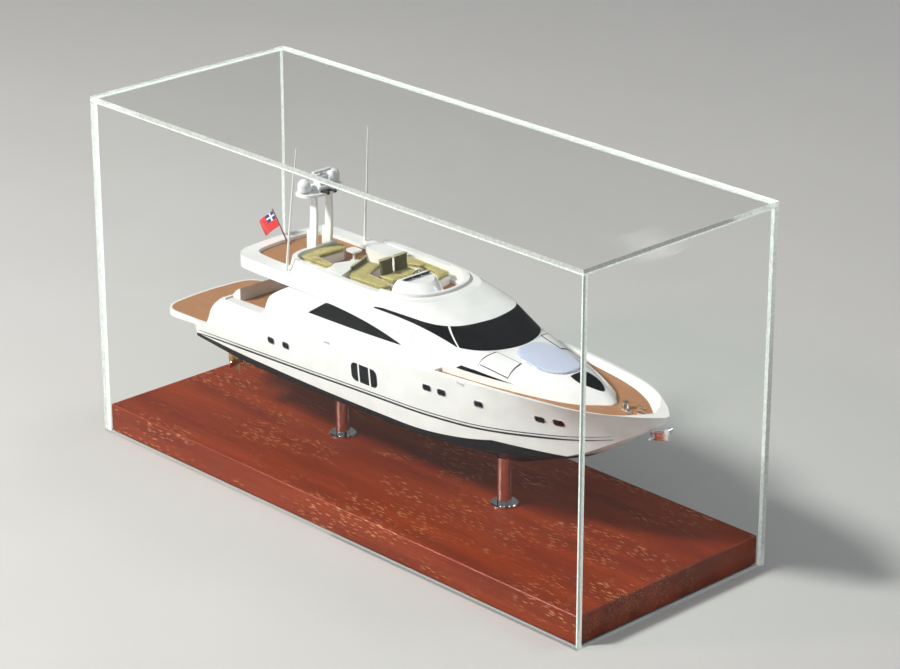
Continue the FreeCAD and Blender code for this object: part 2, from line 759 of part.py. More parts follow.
def thin_shell(solid, prism, depth, ends):
    """The outer layer of a body inside a prism, to a depth measured across the boat."""
    whole = solid.common(prism)
    port = solid.translated(Vector(0, -depth, 0))
    starboard = solid.translated(Vector(0, depth, 0))
    near = whole.common(block(*ends, 0, SPAN / 2, 140, 220)).cut(port)
    far = whole.common(block(*ends, -SPAN / 2, 0, 140, 220)).cut(starboard)
    return Part.makeCompound([near, far])


def build_house(hull):
    """Superstructure moulding and everything let into it."""
    house = house_envelope()
    roof = loft([coachroof_wire(*station) for station in COACHROOF])
    house = house.cut(profile_prism([(-142, FLY_UNDERSIDE), (-42, FLY_UNDERSIDE),
                                     (-6, BROW_LEVEL), (-6, 230), (-142, 230)]))
    house = house.cut(aft_edge_cutter())
    body = house.fuse(roof).removeSplitter()
    lobby = block(-142, COCKPIT_FORE, -COCKPIT_HALF, COCKPIT_HALF, 120, FLY_UNDERSIDE)
    body = body.cut(hull).cut(lobby)
    depth = size("window_recess")
    screen = house.common(windscreen_prism()).cut(behind_the_glass())
    for pillar in pillar_prisms():
        screen = screen.cut(pillar)
    side_windows = thin_shell(body, saloon_window_prism(), depth, (-90, 60))
    slivers = thin_shell(roof, sliver_window_prism(), depth, (80, 160))
    skylight = roof_inlay(roof, [(189.5, 7.6), (199, 8.6), (211, 5.4), (217.5, 0)], 0.4)
    for inlay in (screen, side_windows, slivers, hatch_gaps(roof)):
        body = body.cut(inlay)
    for seam in DOOR_SEAMS:
        groove = two_curve_prism(seam, [(x + 0.5, z) for x, z in seam])
        body = body.cut(thin_shell(body, groove, 0.5, (20, 90)))
    return {"superstructure": body, "windscreen": screen, "saloon_windows": side_windows,
            "coachroof_windows": slivers, "coachroof_skylight": skylight}, roof


def roof_inlay(roof, half, rise):
    """A thin piece that follows the coachroof's top inside a symmetric outline."""
    column = symmetric_prism(half, 150, 190)
    return roof.translated(Vector(0, 0, rise)).common(column).cut(roof)


def aft_edge_cutter():
    """The curved after edge of the saloon sides, below the flybridge overhang."""
    edge = [(-138, 143.5), (-134.4, 156), (-131, 162.5), (-123.4, 168.8), (-112, 175.6), (-100, 182)]
    return smooth_profile_prism(edge, [(-100, 230), (-145, 230), (-145, 143.5)])


def saloon_doors():
    """Four dark door panels across the after end of the saloon."""
    low, high = size("cockpit_level") + 1, FLY_UNDERSIDE - 4
    edges = [-36, -18, 0, 18, 36]
    return Part.makeCompound([block(COCKPIT_FORE - 1.5, COCKPIT_FORE, y0 + 0.6, y1 - 0.6, low, high)
                              for y0, y1 in zip(edges, edges[1:])])


def sunpad(roof):
    """The pad on the coachroof: wide in the middle, narrower at both ends."""
    half = [(129.5, 8), (134.5, 15.5), (142, 19.6), (155, 21.3), (170, 19.4), (181, 14.2), (187, 7.6),
            (188.5, 0)]
    return roof_inlay(roof, half, 1.4)


HATCH = [(120.5, 42.5), (123.6, 26.2), (148, 23.8), (147.5, 37.5)]
HATCH_BEDDING = 0.01  # the film of glue under a lid
# shut lines of the side doors as side views (x, z), each from the side deck up to the glazing
DOOR_SEAMS = [[(30.8, 153), (31, 171), (34, 186)], [(49.4, 153), (46.2, 170), (49.8, 184.5)],
              [(75.5, 153), (69, 169), (71.2, 181)]]


def deck_hatches(roof):
    """Locker lids on the coachroof's shoulders, barely proud of it."""
    raised = roof.translated(Vector(0, 0, 0.35))
    bed = roof.translated(Vector(0, 0, HATCH_BEDDING))
    return pair(raised.common(plan_polygon(HATCH, 150, 200)).cut(bed))


def hatch_gaps(roof):
    """The narrow shut lines round the locker lids."""
    lid = plan_polygon(HATCH, 150, 200)
    middle = Vector(*[sum(corner[i] for corner in HATCH) / len(HATCH) for i in (0, 1)], 0)
    wider = [tuple(middle + (Vector(x, y, 0) - middle) * 1.12)[:2] for x, y in HATCH]
    layer = roof.cut(roof.translated(Vector(0, 0, -0.8)))
    return pair(layer.common(plan_polygon(wider, 150, 200)).cut(lid))


# ---------------------------------------------------------------- flybridge

FLY_UNDERSIDE = 181
FLY_OUTLINE = [(40, 42), (10, 50), (-10, 52.4), (-42, 53.8), (-70, 54.7), (-120, 55.2), (-155, 54.6),
               (-170, 52), (-177.5, 44), (-181, 26), (-182.5, 0)]
FLY_WELL = [(38, 26), (10, 36), (-20, 39.5), (-60, 40), (-120, 40), (-154, 39), (-165.5, 35),
            (-169.5, 24), (-171, 0)]
COAMING_LEVELS = (196.4, 202.6)
COAMING_FOOT = [(-121.8, 24), (-120.5, 33), (-117, 41), (-109, 47), (-92, 50.3), (-40, 51.5),
                (10, 50.6), (48, 48), (74, 43), (86, 32.5), (91.5, 16), (93.5, 0)]
COAMING_MIDDLE = [(-121.4, 23.6), (-120, 32), (-116.6, 40), (-108.5, 45.6), (-91, 48.8), (-40, 50),
                  (10, 48.9), (38, 46.2), (58, 41), (68, 31), (73, 15), (74.5, 0)]
COAMING_LIP = [(-121, 23), (-119.6, 31), (-116, 38.6), (-108, 43.8), (-90, 46.6), (-40, 47.4),
               (5, 45.5), (25, 41.5), (37, 34), (43, 23), (46, 11), (47, 0)]
COAMING_WELL = [(-117.4, 22), (-116, 30), (-112, 36.4), (-104, 40.2), (-88, 41.8), (-40, 42), (0, 40.5),
                (18, 37), (29, 30), (35, 20), (38, 10), (39, 0)]
COAMING_RIDGE = [(0, 43), (19, 39.6), (31.5, 32.2), (38, 22), (41, 11), (42, 0)]


def flybridge_well():
    """The shallow well that the teak lies in."""
    return symmetric_prism(FLY_WELL, size("flybridge_level") - size("teak"), 230)


def flybridge_deck(house):
    """The overhanging slab with its raised rim; the teak lies in its well."""
    rim = size("flybridge_rim")
    slab = symmetric_prism(FLY_OUTLINE, FLY_UNDERSIDE, rim)
    well = flybridge_well()
    laid = well.common(block(-200, 60, -80, 80, 150, size("flybridge_level")))
    aft = slab.common(block(-200, -42, -80, 80, 150, 230))
    fore = slab.common(block(-42, 60, -80, 80, 150, 230)).cut(house)
    fore = fore.fuse(slab.common(house_core())).removeSplitter()
    return aft.fuse(fore).removeSplitter().cut(well), laid


def house_core():
    """The space inside the saloon sides that the front of the flybridge slab fills."""
    half = [(x, y - 3) if y > 3 else (x, y) for x, y in HOUSE_BROW[2:]]
    return symmetric_prism([(-60, 49.5)] + half, FLY_UNDERSIDE, size("flybridge_rim"))


def flybridge_coaming():
    """Coaming and brow: three outlines lofted, a ridge round the front and the well cut out.

    On the port side it stops at the wet bar, which leaves a way through to the after deck.
    """
    rim = size("flybridge_rim")
    body = loft([symmetric_wire(outline, z) for outline, z in
                 zip((COAMING_FOOT, COAMING_MIDDLE, COAMING_LIP), (rim, *COAMING_LEVELS))])
    body = body.cut(profile_prism([(-130, 202), (30, 201.4), (60, 201), (60, 230), (-130, 230)]))
    body = body.fuse(symmetric_prism(COAMING_RIDGE, 197, 203.6))
    return body.cut(symmetric_prism(COAMING_WELL, 180, 230)).cut(block(-130, -89, 15, 60, rim, 230))


SETTEE_LEVEL = 196.5
CUSHION = 3.5
AFT_SETTEE = [(-113, -31), (-117, -14), (-117, 13), (-107, 14.5), (-102, 8.5), (-103, -21),
              (-78, -24.7), (-74, -32)]
FORWARD_SETTEE = [(-64, 1.2), (-51.5, 5), (-39.4, -18.6), (-15.5, -19.9), (-7, -24.8), (-9, -33),
                  (-47, -35), (-52.6, -28)]
LOUNGE = [(-48.6, 31.4), (-45, 36.7), (4, 34.6), (7.8, 18.9), (-6.6, 26.5), (-22, 28), (-38, 22.5)]
LOCKER = [(-73.4, -39.5), (-73.4, -32.4), (-78, -23.8), (-67.5, 2.4), (-56.4, -26), (-51.5, -39.5)]
BACKREST = [(-67, 2.2), (-64.4, 1.6), (-53.6, -26), (-56, -26)]


def settee(outline):
    """White seat front and the cushion on top of it."""
    base = plan_polygon(outline, size("flybridge_level"), SETTEE_LEVEL)
    return base, plan_polygon(outline, SETTEE_LEVEL, SETTEE_LEVEL + CUSHION)


def pilot_seats():
    """Two upright seats side by side, each a squab and a back on a plinth."""
    seats = []
    floor = size("flybridge_level")
    for middle in (-8.5, 8.5):
        y0, y1 = middle - 7.5, middle + 7.5
        plinth = block(-28, -18, middle - 4, middle + 4, floor, 196)
        squab = soft_edges(block(-30, -13, y0, y1, 196, 200.5), 1.8, at_height(200.5))
        back = profile_prism([(-30, 196), (-25.5, 196), (-28.5, 214), (-32, 214)], y0, y1)
        back = soft_edges(back, 1.5, lambda edge: edge.BoundBox.ZMin > 213.9)
        seats.append(fuse([plinth, squab, back]))
    return seats


CONSOLE_TOP = 207.5


def helm_console():
    """A pod with a long sloping front, its sides drawn in towards the top."""
    def outline(x0, x1, half, z, y=-8):
        """A rounded plan outline of the pod at one height."""
        points = [(x0, y - half), (x1 - half, y - half), (x1, y), (x1 - half, y + half),
                  (x0, y + half)]
        smooth = curve_through([(px, py, z) for px, py in points])
        end = Part.makeLine(Vector(x0, y + half, z), Vector(x0, y - half, z))
        return Part.Wire([smooth, end])
    floor = size("flybridge_level")
    return loft([outline(-1, 37.5, 21, floor), outline(-1, 34.5, 20, 199),
                 outline(2, 25, 16, CONSOLE_TOP)])


def helm_instruments():
    """Dark screens on the console top."""
    top = CONSOLE_TOP
    panels = []
    for y in (-18, -8, 2):
        panels.append(profile_prism([(5, top), (9, top), (10.5, top + 2.6), (9.5, top + 2.6)],
                                    y - 4, y + 4))
    return Part.makeCompound(panels)


def helm_wheel():
    """A small wheel with five spokes on a raked shaft, behind the console."""
    hub = Vector(-3.5, 3, 204)
    axis = Vector(-1, 0, 0.45)
    ring = Part.makeTorus(4.6, 0.45, hub, axis)
    centre = Part.makeCylinder(1.1, 1.2, hub - Vector(axis).normalize() * 0.6, axis)
    shaft = Part.makeCylinder(0.5, 4, hub, Vector(1, 0, -0.45))
    turn = Rotation(Vector(0, 0, 1), axis)
    spokes = []
    for angle in range(0, 360, 72):
        out = turn.multVec(Vector(math.cos(math.radians(angle)), math.sin(math.radians(angle)), 0))
        spokes.append(Part.makeCylinder(0.35, 4.6, hub, out))
    return fuse([ring, centre, shaft] + spokes)


def wet_bar():
    """A white cabinet against the port coaming, with rounded corners."""
    cabinet = block(-89.5, -50, 21.5, 39.5, size("flybridge_level"), 201)
    return soft_edges(cabinet, 2.5, upright)


def flybridge_table():
    """A small round-cornered table on one leg."""
    x, y, top_level = -94.5, 13.5, 198
    floor = size("flybridge_level")
    top = soft_edges(block(x - 6, x + 6, y - 5.2, y + 5.2, top_level, top_level + 1.5), 2.5, upright)
    leg = Part.makeCylinder(1.2, top_level - floor, Vector(x, y, floor))
    foot = Part.makeCylinder(3.2, 0.8, Vector(x, y, floor))
    return fuse([top, leg, foot])


def flybridge_fittings():
    """Seats, console, wheel, bar and table, by name."""
    aft_base, aft_cushion = settee(AFT_SETTEE)
    fore_base, fore_cushion = settee(FORWARD_SETTEE)
    lounge_base, lounge_cushion = settee(LOUNGE)
    floor = size("flybridge_level")
    locker = plan_polygon(LOCKER, floor, 201)
    console = helm_console()
    return {
        "flybridge_seat_bases": Part.makeCompound([aft_base, fore_base, lounge_base, locker]),
        "aft_settee_cushions": aft_cushion,
        "forward_settee_cushions": fore_cushion,
        "settee_backrest": plan_polygon(BACKREST, floor, 204.5),
        "lounge_pad": lounge_cushion,
        "pilot_seats": Part.makeCompound(pilot_seats()),
        "helm_console": console,
        "helm_instruments": helm_instruments(),
        "helm_wheel": helm_wheel().cut(console),
        "wet_bar": wet_bar(),
        "flybridge_table": flybridge_table(),
    }


# ---------------------------------------------------------------- mast and antennas

LEG_OFFSET = 8.8
LEG_THICKNESS = 2.8
WING_LEVEL = 248.5


def mast_legs():
    """Two legs, each thick up to a step and slightly curved above it."""
    floor = size("flybridge_level")
    aft = [(-130.5, floor), (-130, 214.6), (-126.3, 215.4), (-125.3, 230), (-124.6, WING_LEVEL)]
    fore = [(-117.6, WING_LEVEL), (-116.4, 232), (-117, 212), (-120.5, floor)]
    leg = profile_prism(aft + fore, LEG_OFFSET - LEG_THICKNESS / 2, LEG_OFFSET + LEG_THICKNESS / 2)
    return pair(soft_edges(leg, 0.9, lambda edge: edge.BoundBox.ZLength > 12))


def mast_wing():
    """The crosspiece: a thin wing with upswept tips and a raised middle."""
    half = [(-133, 14), (-131, 21), (-124, 22), (-118, 20), (-113.5, 12), (-112, 0)]
    wing = symmetric_prism(half, WING_LEVEL, WING_LEVEL + 2.6)
    hump = block(-128, -116, -7, 7, WING_LEVEL + 2.6, WING_LEVEL + 8)
    hump = soft_edges(hump, 2, at_height(WING_LEVEL + 8))
    return fuse([wing, hump])


def satcom_domes():
    """Two radomes on short collars."""
    foot = WING_LEVEL + 2.6
    near = turned_dome(-125, -16.2, foot, 5.8, 6.6)
    far = turned_dome(-125, 16.2, foot, 5.8, 6.6)
    return Part.makeCompound([near, far])


def turned_dome(x, y, foot, radius, rise):
    """A cylinder with a hemispherical top on a narrower collar."""
    collar = Part.makeCylinder(radius * 0.6, 2, Vector(x, y, foot))
    wall = Part.makeCylinder(radius, rise - 2, Vector(x, y, foot + 2))
    cap = Part.makeSphere(radius, Vector(x, y, foot + rise))
    return fuse([collar, wall, cap])


def radar_scanner():
    """A gearbox with an open-array bar across its top."""
    foot = WING_LEVEL + 8
    box = soft_edges(block(-127, -117, -4.5, 4.5, foot, foot + 6), 1.5, upright)
    neck = Part.makeCylinder(1.6, 2, Vector(-122, 0, foot + 6))
    bar = block(-123.8, -120.2, -9.8, 9.8, foot + 8, foot + 10.4)
    bar = soft_edges(bar, 0.9, lambda edge: edge.BoundBox.YLength > 19)
    return fuse([box, neck, bar])


def mast_fittings():
    """Twin horns and a searchlight on the front of the wing."""
    front = -112
    horns = [tapered_rod((front - 2, y, WING_LEVEL + 4), (front + 5, y, WING_LEVEL + 4), 0.6, 1.6)
             for y in (-4, 4)]
    saddle = block(front - 4, front - 1, -5, 5, WING_LEVEL + 2.6, WING_LEVEL + 4.4)
    return fuse(horns + [saddle])


def whip_antennas():
    """Two tall whips, each in a socket on the flybridge rim."""
    rim, radius = size("flybridge_rim"), 1.2
    below = block(-200, 0, -80, 80, rim - 10, rim)
    whips = []
    for start, end in (((-111, -50, rim), (-97, -50, 303)), ((-120, 49.5, rim), (-116, 49.5, 296))):
        a, b = Vector(*start), Vector(*end)
        socket = Part.makeCylinder(1.6, 3, a)
        whip = tapered_rod(start, end, radius, radius * 0.45)
        whips.append(fuse([socket, whip]).cut(below))
    return Part.makeCompound(whips)


STAFF_HEAD = (-187.3, 0, 216.7)


def flagstaff():
    """A raked staff in a socket on the after end of the teak."""
    foot = Vector(-166.5, 0, size("flybridge_level"))
    staff = tapered_rod(foot, STAFF_HEAD, 0.75, 0.45)
    socket = Part.makeCylinder(1.6, 2.2, foot)
    trim = block(-182, -155, -8, 8, 170, size("flybridge_level"))
    return fuse([staff, socket]).cut(trim)


def ensign():
    """The flag: a thin sheet that hangs off the staff in two soft waves."""
    hoist_top = Vector(*STAFF_HEAD) + Vector(0.3, 0, -2)
    hoist_foot = hoist_top + Vector(8.8, 0, -11.8)
    out = Vector(-19.5, 0, -15)
    rows = []
    for hoist in (hoist_foot, hoist_top):
        points = []
        for i in range(9):
            share = i / 8
            wave = 1.1 * math.sin(share * 2.4 * math.pi) * share ** 0.5
            points.append(hoist + out * share + Vector(-0.6, wave, 0))
        rows.append(curve_through(points))
    sheet_face = Part.makeRuledSurface(rows[0], rows[1])
    return sheet_face.extrude(Vector(0, 0.4, 0))


def mast_and_antennas():
    """Everything that stands above the flybridge, by name."""
    wing = mast_wing()
    radar = radar_scanner()
    return {
        "mast_legs": mast_legs(),
        "mast_wing": wing,
        "satcom_domes": satcom_domes(),
        "radar_scanner": radar,
        "mast_fittings": mast_fittings().cut(wing).cut(radar),
        "whip_antennas": whip_antennas(),
        "flagstaff": flagstaff(),
        "ensign": ensign(),
    }


# ---------------------------------------------------------------- foredeck and stern gear


def anchor():
    """Roller cheeks and a plough anchor stowed under the stem."""
    shank = rod((268, 0, 146.5), (289, 0, 151.5), 1.2)
    roller = Part.makeCylinder(2.4, 5, Vector(288.5, -2.5, 151.5), Vector(0, 1, 0))
    plough = loft([triangle_wire(273, 5.5, 138.5, 147), triangle_wire(288, 1.5, 142.5, 150.6)])
    stock = rod((274, -6.5, 141.5), (274, 6.5, 141.5), 0.9)
    return fuse([shank, roller, plough, stock])


def triangle_wire(x, half, low, high):
    """A triangular section, point down."""
    corners = [Vector(x, -half, high), Vector(x, half, high), Vector(x, 0, low)]
    return Part.makePolygon(corners + corners[:1])


def windlass():
    """A chromed capstan with its gearbox cap beside it."""
    deck = size("foredeck_level")
    foot = Part.makeCylinder(3.4, 1.2, Vector(241, 0.5, deck))
    drum = Part.makeCone(2.6, 1.6, 3.2, Vector(241, 0.5, deck + 1.2))
    crown = Part.makeCylinder(2.6, 1.4, Vector(241, 0.5, deck + 4.4))
    cap = Part.makeCone(2.4, 1.8, 1.6, Vector(248, -3.5, deck))
    return Part.makeCompound([fuse([foot, drum, crown]), cap])


def cleat(x, y):
    """A two-horned cleat along the boat."""
    deck = size("foredeck_level")
    posts = [Part.makeCylinder(0.7, 2.2, Vector(x + d, y, deck)) for d in (-1.6, 1.6)]
    return fuse(posts + [rod((x - 4, y, deck + 2.2), (x + 4, y, deck + 2.2), 0.7)])


def fairlead(x, z):
    """A small oval plate on the topsides, just under the cap."""
    side = side_at(x, z)
    plate = block(x - 3.6, x + 3.6, -side - 0.6, 1 - side, z - 0.9, z + 0.9)
    return soft_edges(plate, 0.85, lambda edge: edge.BoundBox.YLength > 1)


def deck_cleats(hull):
    """Cleats at the bow, a chain stopper ahead of the windlass and the fairleads."""
    deck = size("foredeck_level")
    stopper = block(255, 262, -1.4, 1.4, deck, deck + 1.8)
    plates = [fairlead(-43, 149).cut(hull), fairlead(115, 157.5).cut(hull)]
    return Part.makeCompound([cleat(252, 7.5), cleat(252, -7.5), stopper]
                             + plates + [mirrored(plate) for plate in plates])


SHAFT_LINE = ((-148, 27, 82.5), (-206, 27, 71.5))


def propeller():
    """A boss with four pitched blades."""
    start, end = Vector(*SHAFT_LINE[0]), Vector(*SHAFT_LINE[1])
    way = (end - start).normalize()
    boss = Part.makeCone(2.2, 1.4, 6, end, way)
    turn = Rotation(Vector(0, 0, 1), way)
    blades = []
    for quarter in range(4):
        blade = Part.makeCylinder(4.3, 0.9, Vector(5.2, 0, -0.45))
        blade.rotate(Vector(0, 0, 0), Vector(1, 0, 0), 32)
        blade.rotate(Vector(0, 0, 0), Vector(0, 0, 1), 90 * quarter)
        blade.Placement = Placement(end + way * 3, turn).multiply(blade.Placement)
        blades.append(blade)
    return fuse([boss] + blades)


def propeller_shaft(hull):
    """The shaft from the hull to the boss."""
    return rod(*SHAFT_LINE, 1.1).cut(hull)


def shaft_bracket(hull, shaft):
    """A strut from the hull to a barrel round the shaft."""
    start, end = Vector(*SHAFT_LINE[0]), Vector(*SHAFT_LINE[1])
    way = (end - start).normalize()
    middle = end - way * 8
    barrel = Part.makeCylinder(1.9, 5, middle, way)
    strut = block(middle.x - 3.5, middle.x + 1.5, 26.2, 27.8, middle.z + 0.5, 90)
    return fuse([barrel, strut]).cut(hull).cut(shaft)


def rudder(hull):
    """A blade behind the propeller, hung on its stock."""
    blade = profile_prism([(-214.5, 66), (-219, 66), (-220.5, 79), (-213.5, 79)], 26, 28)
    stock = rod((-217, 27, 78), (-217, 27, 92), 1.0)
    return fuse([blade, stock]).cut(hull)


def deck_and_stern_gear(hull):
    """Anchor, windlass and cleats, and the bronze under the hull, by name."""
    shaft = propeller_shaft(hull)
    screw = propeller()
    return {
        "anchor": anchor().cut(hull),
        "windlass": windlass(),
        "deck_cleats": deck_cleats(hull),
        "propeller_shafts": pair(shaft.cut(screw)),
        "propellers": pair(screw),
        "shaft_brackets": pair(shaft_bracket(hull, shaft)),
        "rudders": pair(rudder(hull)),
    }


# ---------------------------------------------------------------- build

add_cover()
add_base_board()
add_feet()
shapes = build_hull()
hull = shapes["hull"]
add_pedestals(hull)
add_fasteners(keel_at)
platform, platform_laid = swim_platform()
shapes["hull"] = hull.cut(platform_laid)
shapes["swim_platform"] = platform.cut(hull)
shapes["platform_teak"] = platform_laid
shapes["cockpit_teak"] = cockpit_teak()

house_parts, roof = build_house(hull)
fly_deck, fly_laid = flybridge_deck(house_parts["superstructure"])
for name in ("superstructure", "windscreen"):
    house_parts[name] = house_parts[name].cut(fly_deck).cut(flybridge_well())
shapes.update(house_parts)
shapes["foredeck_teak"] = foredeck_region().common(
    block(60, 280, -80, 80, 150, size("foredeck_level"))).cut(shapes["superstructure"])
shapes["saloon_doors"] = saloon_doors()
shapes["sunpad"] = sunpad(roof)
shapes["deck_hatches"] = deck_hatches(roof).cut(shapes["sunpad"])
shapes["flybridge_deck"] = fly_deck
shapes["flybridge_teak"] = fly_laid
shapes.update(flybridge_fittings())
shapes.update(mast_and_antennas())
shapes["flybridge_coaming"] = flybridge_coaming().cut(shapes["mast_legs"])
shapes.update(deck_and_stern_gear(hull))

for label, shape in shapes.items():
    feature(label, shape)

# ---------------------------------------------------------------- check and export

doc.recompute()
for item in doc.Objects:
    if "Invalid" in item.State or "Error" in item.State:
        raise RuntimeError(f"{item.Label} failed: {item.State}")
os.makedirs("parts", exist_ok=True)
for item in SUBPARTS:
    shape = item.Shape
    if shape.isNull() or not shape.isValid() or not shape.Solids:
        raise RuntimeError(f"{item.Label} has no valid solid")
    shape.exportStep(f"parts/{item.Label}.step")
    print(item.Label, len(shape.Solids), round(shape.Volume))
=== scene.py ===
"""Looks of a motor yacht model on its board under a clear acrylic cover."""

import math

import bmesh
import bpy
from mathutils import Matrix, Vector


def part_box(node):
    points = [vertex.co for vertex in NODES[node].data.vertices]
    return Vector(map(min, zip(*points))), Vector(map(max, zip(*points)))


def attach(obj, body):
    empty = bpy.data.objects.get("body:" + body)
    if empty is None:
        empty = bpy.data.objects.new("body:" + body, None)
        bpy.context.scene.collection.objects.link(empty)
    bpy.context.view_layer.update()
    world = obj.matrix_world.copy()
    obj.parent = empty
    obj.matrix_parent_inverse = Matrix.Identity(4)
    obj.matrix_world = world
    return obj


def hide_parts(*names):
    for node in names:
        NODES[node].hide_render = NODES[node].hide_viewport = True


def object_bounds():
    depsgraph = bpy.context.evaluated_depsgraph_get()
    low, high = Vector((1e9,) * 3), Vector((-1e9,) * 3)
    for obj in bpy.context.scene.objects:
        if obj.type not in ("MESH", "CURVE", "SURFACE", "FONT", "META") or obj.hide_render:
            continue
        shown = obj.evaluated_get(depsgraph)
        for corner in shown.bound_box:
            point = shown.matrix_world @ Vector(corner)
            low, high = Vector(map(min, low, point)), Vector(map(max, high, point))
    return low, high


MM = 0.001

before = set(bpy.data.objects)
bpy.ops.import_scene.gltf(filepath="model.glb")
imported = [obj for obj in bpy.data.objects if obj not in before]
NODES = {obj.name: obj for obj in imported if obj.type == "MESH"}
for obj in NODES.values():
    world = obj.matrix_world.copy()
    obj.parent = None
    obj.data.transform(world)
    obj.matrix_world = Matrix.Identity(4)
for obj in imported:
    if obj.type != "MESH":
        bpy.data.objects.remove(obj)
CAD_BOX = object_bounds()


# ---------------------------------------------------------------- shader helper


class Shader:
    """A material's node tree. Values are numbers, colours or sockets of earlier nodes."""

    def __init__(self, name):
        self.material = bpy.data.materials.new(name)
        self.material.use_nodes = True
        self.tree = self.material.node_tree
        self.tree.nodes.clear()
        self.output = self.tree.nodes.new("ShaderNodeOutputMaterial")

    def node(self, kind, inputs=(), **settings):
        made = self.tree.nodes.new(kind)
        for key, value in settings.items():
            setattr(made, key, value)
        for key, value in dict(inputs).items():
            self.feed(made.inputs[key], value)
        return made

    def feed(self, socket, value):
        if isinstance(value, bpy.types.NodeSocket):
            self.tree.links.new(value, socket)
        elif isinstance(value, tuple) and len(value) == 3 and socket.type == "RGBA":
            socket.default_value = (*value, 1.0)
        else:
            socket.default_value = value

    def millimetres(self, stretch=(1.0, 1.0, 1.0)):
        """The surface point in the object's own frame, in millimetres, stretched per axis."""
        place = self.node("ShaderNodeTexCoord").outputs["Object"]
        factors = tuple(1000.0 * s for s in stretch)
        return self.node(
            "ShaderNodeVectorMath", {0: place, 1: factors}, operation="MULTIPLY"
        ).outputs[0]

    def axes(self):
        """The surface point's x, y and z in millimetres, each as a socket."""
        parts = self.node("ShaderNodeSeparateXYZ", {0: self.millimetres()})
        return parts.outputs[0], parts.outputs[1], parts.outputs[2]

    def along(self, start, direction):
        """How far the surface point lies from start along a direction, as a share of its length."""
        offset = self.node(
            "ShaderNodeVectorMath", {0: self.millimetres(), 1: tuple(start)}, operation="SUBTRACT"
        ).outputs[0]
        scaled = tuple(direction / direction.length_squared)
        return self.node(
            "ShaderNodeVectorMath", {0: offset, 1: scaled}, operation="DOT_PRODUCT"
        ).outputs["Value"]

    def math(self, operation, a, b=0.0, clamp=False):
        return self.node(
            "ShaderNodeMath", {0: a, 1: b}, operation=operation, use_clamp=clamp
        ).outputs[0]

    def noise(self, place, scale, detail, roughness):
        made = self.node(
            "ShaderNodeTexNoise",
            {"Vector": place, "Scale": scale, "Detail": detail, "Roughness": roughness},
        )
        return made.outputs[0]

    def cells(self, place):
        """The distance to the nearest of many scattered points, one to each unit cube."""
        made = self.node("ShaderNodeTexVoronoi", {"Vector": place, "Scale": 1.0}, feature="F1")
        return made.outputs["Distance"]

    def speckle(self, value):
        """A fixed random number for each value of a socket, such as a tone for each plank."""
        return self.node("ShaderNodeTexWhiteNoise", {"W": value}, noise_dimensions="1D").outputs[0]

    def fade(self, value, start, end, low=0.0, high=1.0):
        """A smooth step from low to high while the value goes from start to end."""
        made = self.node(
            "ShaderNodeMapRange",
            {"Value": value, 1: start, 2: end, 3: low, 4: high},
            interpolation_type="SMOOTHSTEP",
        )
        return made.outputs[0]

    def blend(self, factor, a, b):
        made = self.node("ShaderNodeMix", data_type="RGBA", blend_type="MIX")
        self.feed(made.inputs[0], factor)
        self.feed(made.inputs[6], a)
        self.feed(made.inputs[7], b)
        return made.outputs[2]

    def ramp(self, value, *stops):
        made = self.node("ShaderNodeValToRGB", {0: value})
        elements = made.color_ramp.elements
        while len(elements) < len(stops):
            elements.new(0.5)
        for element, (place, colour) in zip(elements, stops):
            element.position = place
            element.color = (*colour, 1.0)
        return made.outputs[0]

    def bump(self, height, depth, strength):
        """Relief whose height runs from 0 to 1 over depth metres."""
        made = self.node(
            "ShaderNodeBump", {"Height": height, "Distance": depth, "Strength": strength}
        )
        return made.outputs[0]

    def principled(self, **inputs):
        """A Principled surface. Input names use _ for spaces."""
        named = {key.replace("_", " "): value for key, value in inputs.items()}
        return self.node("ShaderNodeBsdfPrincipled", named).outputs[0]

    def finish(self, surface):
        self.tree.links.new(surface, self.output.inputs["Surface"])
        return self.material


# ---------------------------------------------------------------- materials


def lamps_pass(s, surface, tint):
    """Let lamps and bounced light straight through a clear sheet."""
    through = s.node("ShaderNodeBsdfTransparent", {0: tint}).outputs[0]
    rays = s.node("ShaderNodeLightPath").outputs
    for kind in ("Is Diffuse Ray", "Is Shadow Ray"):
        surface = s.node(
            "ShaderNodeMixShader", {0: rays[kind], 1: surface, 2: through}
        ).outputs[0]
    return s.finish(surface)


def acrylic_face():
    """The polished faces of clear cast acrylic, with a few hairline scratches.

    The index is low so that the pale studio does not veil what stands inside the case.
    """
    s = Shader("acrylic_clear_face")
    hair = s.noise(s.millimetres((0.02, 0.9, 0.05)), 1.0, 5.0, 0.7)
    surface = s.principled(
        Base_Color=(0.985, 0.995, 0.99),
        Roughness=s.fade(hair, 0.62, 0.78, 0.0, 0.05),
        IOR=1.14,
        Transmission_Weight=1.0,
    )
    return lamps_pass(s, surface, (0.97, 0.985, 0.98))


def acrylic_edge():
    """The edges of the sheets: whitish, with a brighter and a duller band, and a faint glow; the
    whitish colour and the glow are painted light for the light the sheets carry along to their edges.
    """
    s = Shader("acrylic_edge_painted_glow")
    band = s.noise(s.millimetres((0.35, 0.35, 0.35)), 1.0, 2.0, 0.5)
    surface = s.principled(
        # whitish edge colour: painted light for the light carried along inside the sheet
        Base_Color=s.blend(s.fade(band, 0.35, 0.65), (0.66, 0.74, 0.70), (0.90, 0.94, 0.90)),
        Roughness=0.14,
        IOR=1.49,
        Transmission_Weight=0.55,
        # painted glow: the edge shines faintly though it is no lamp
        Emission_Color=(0.92, 0.97, 0.93),
        Emission_Strength=0.12,
    )
    return lamps_pass(s, surface, (0.94, 0.97, 0.95))


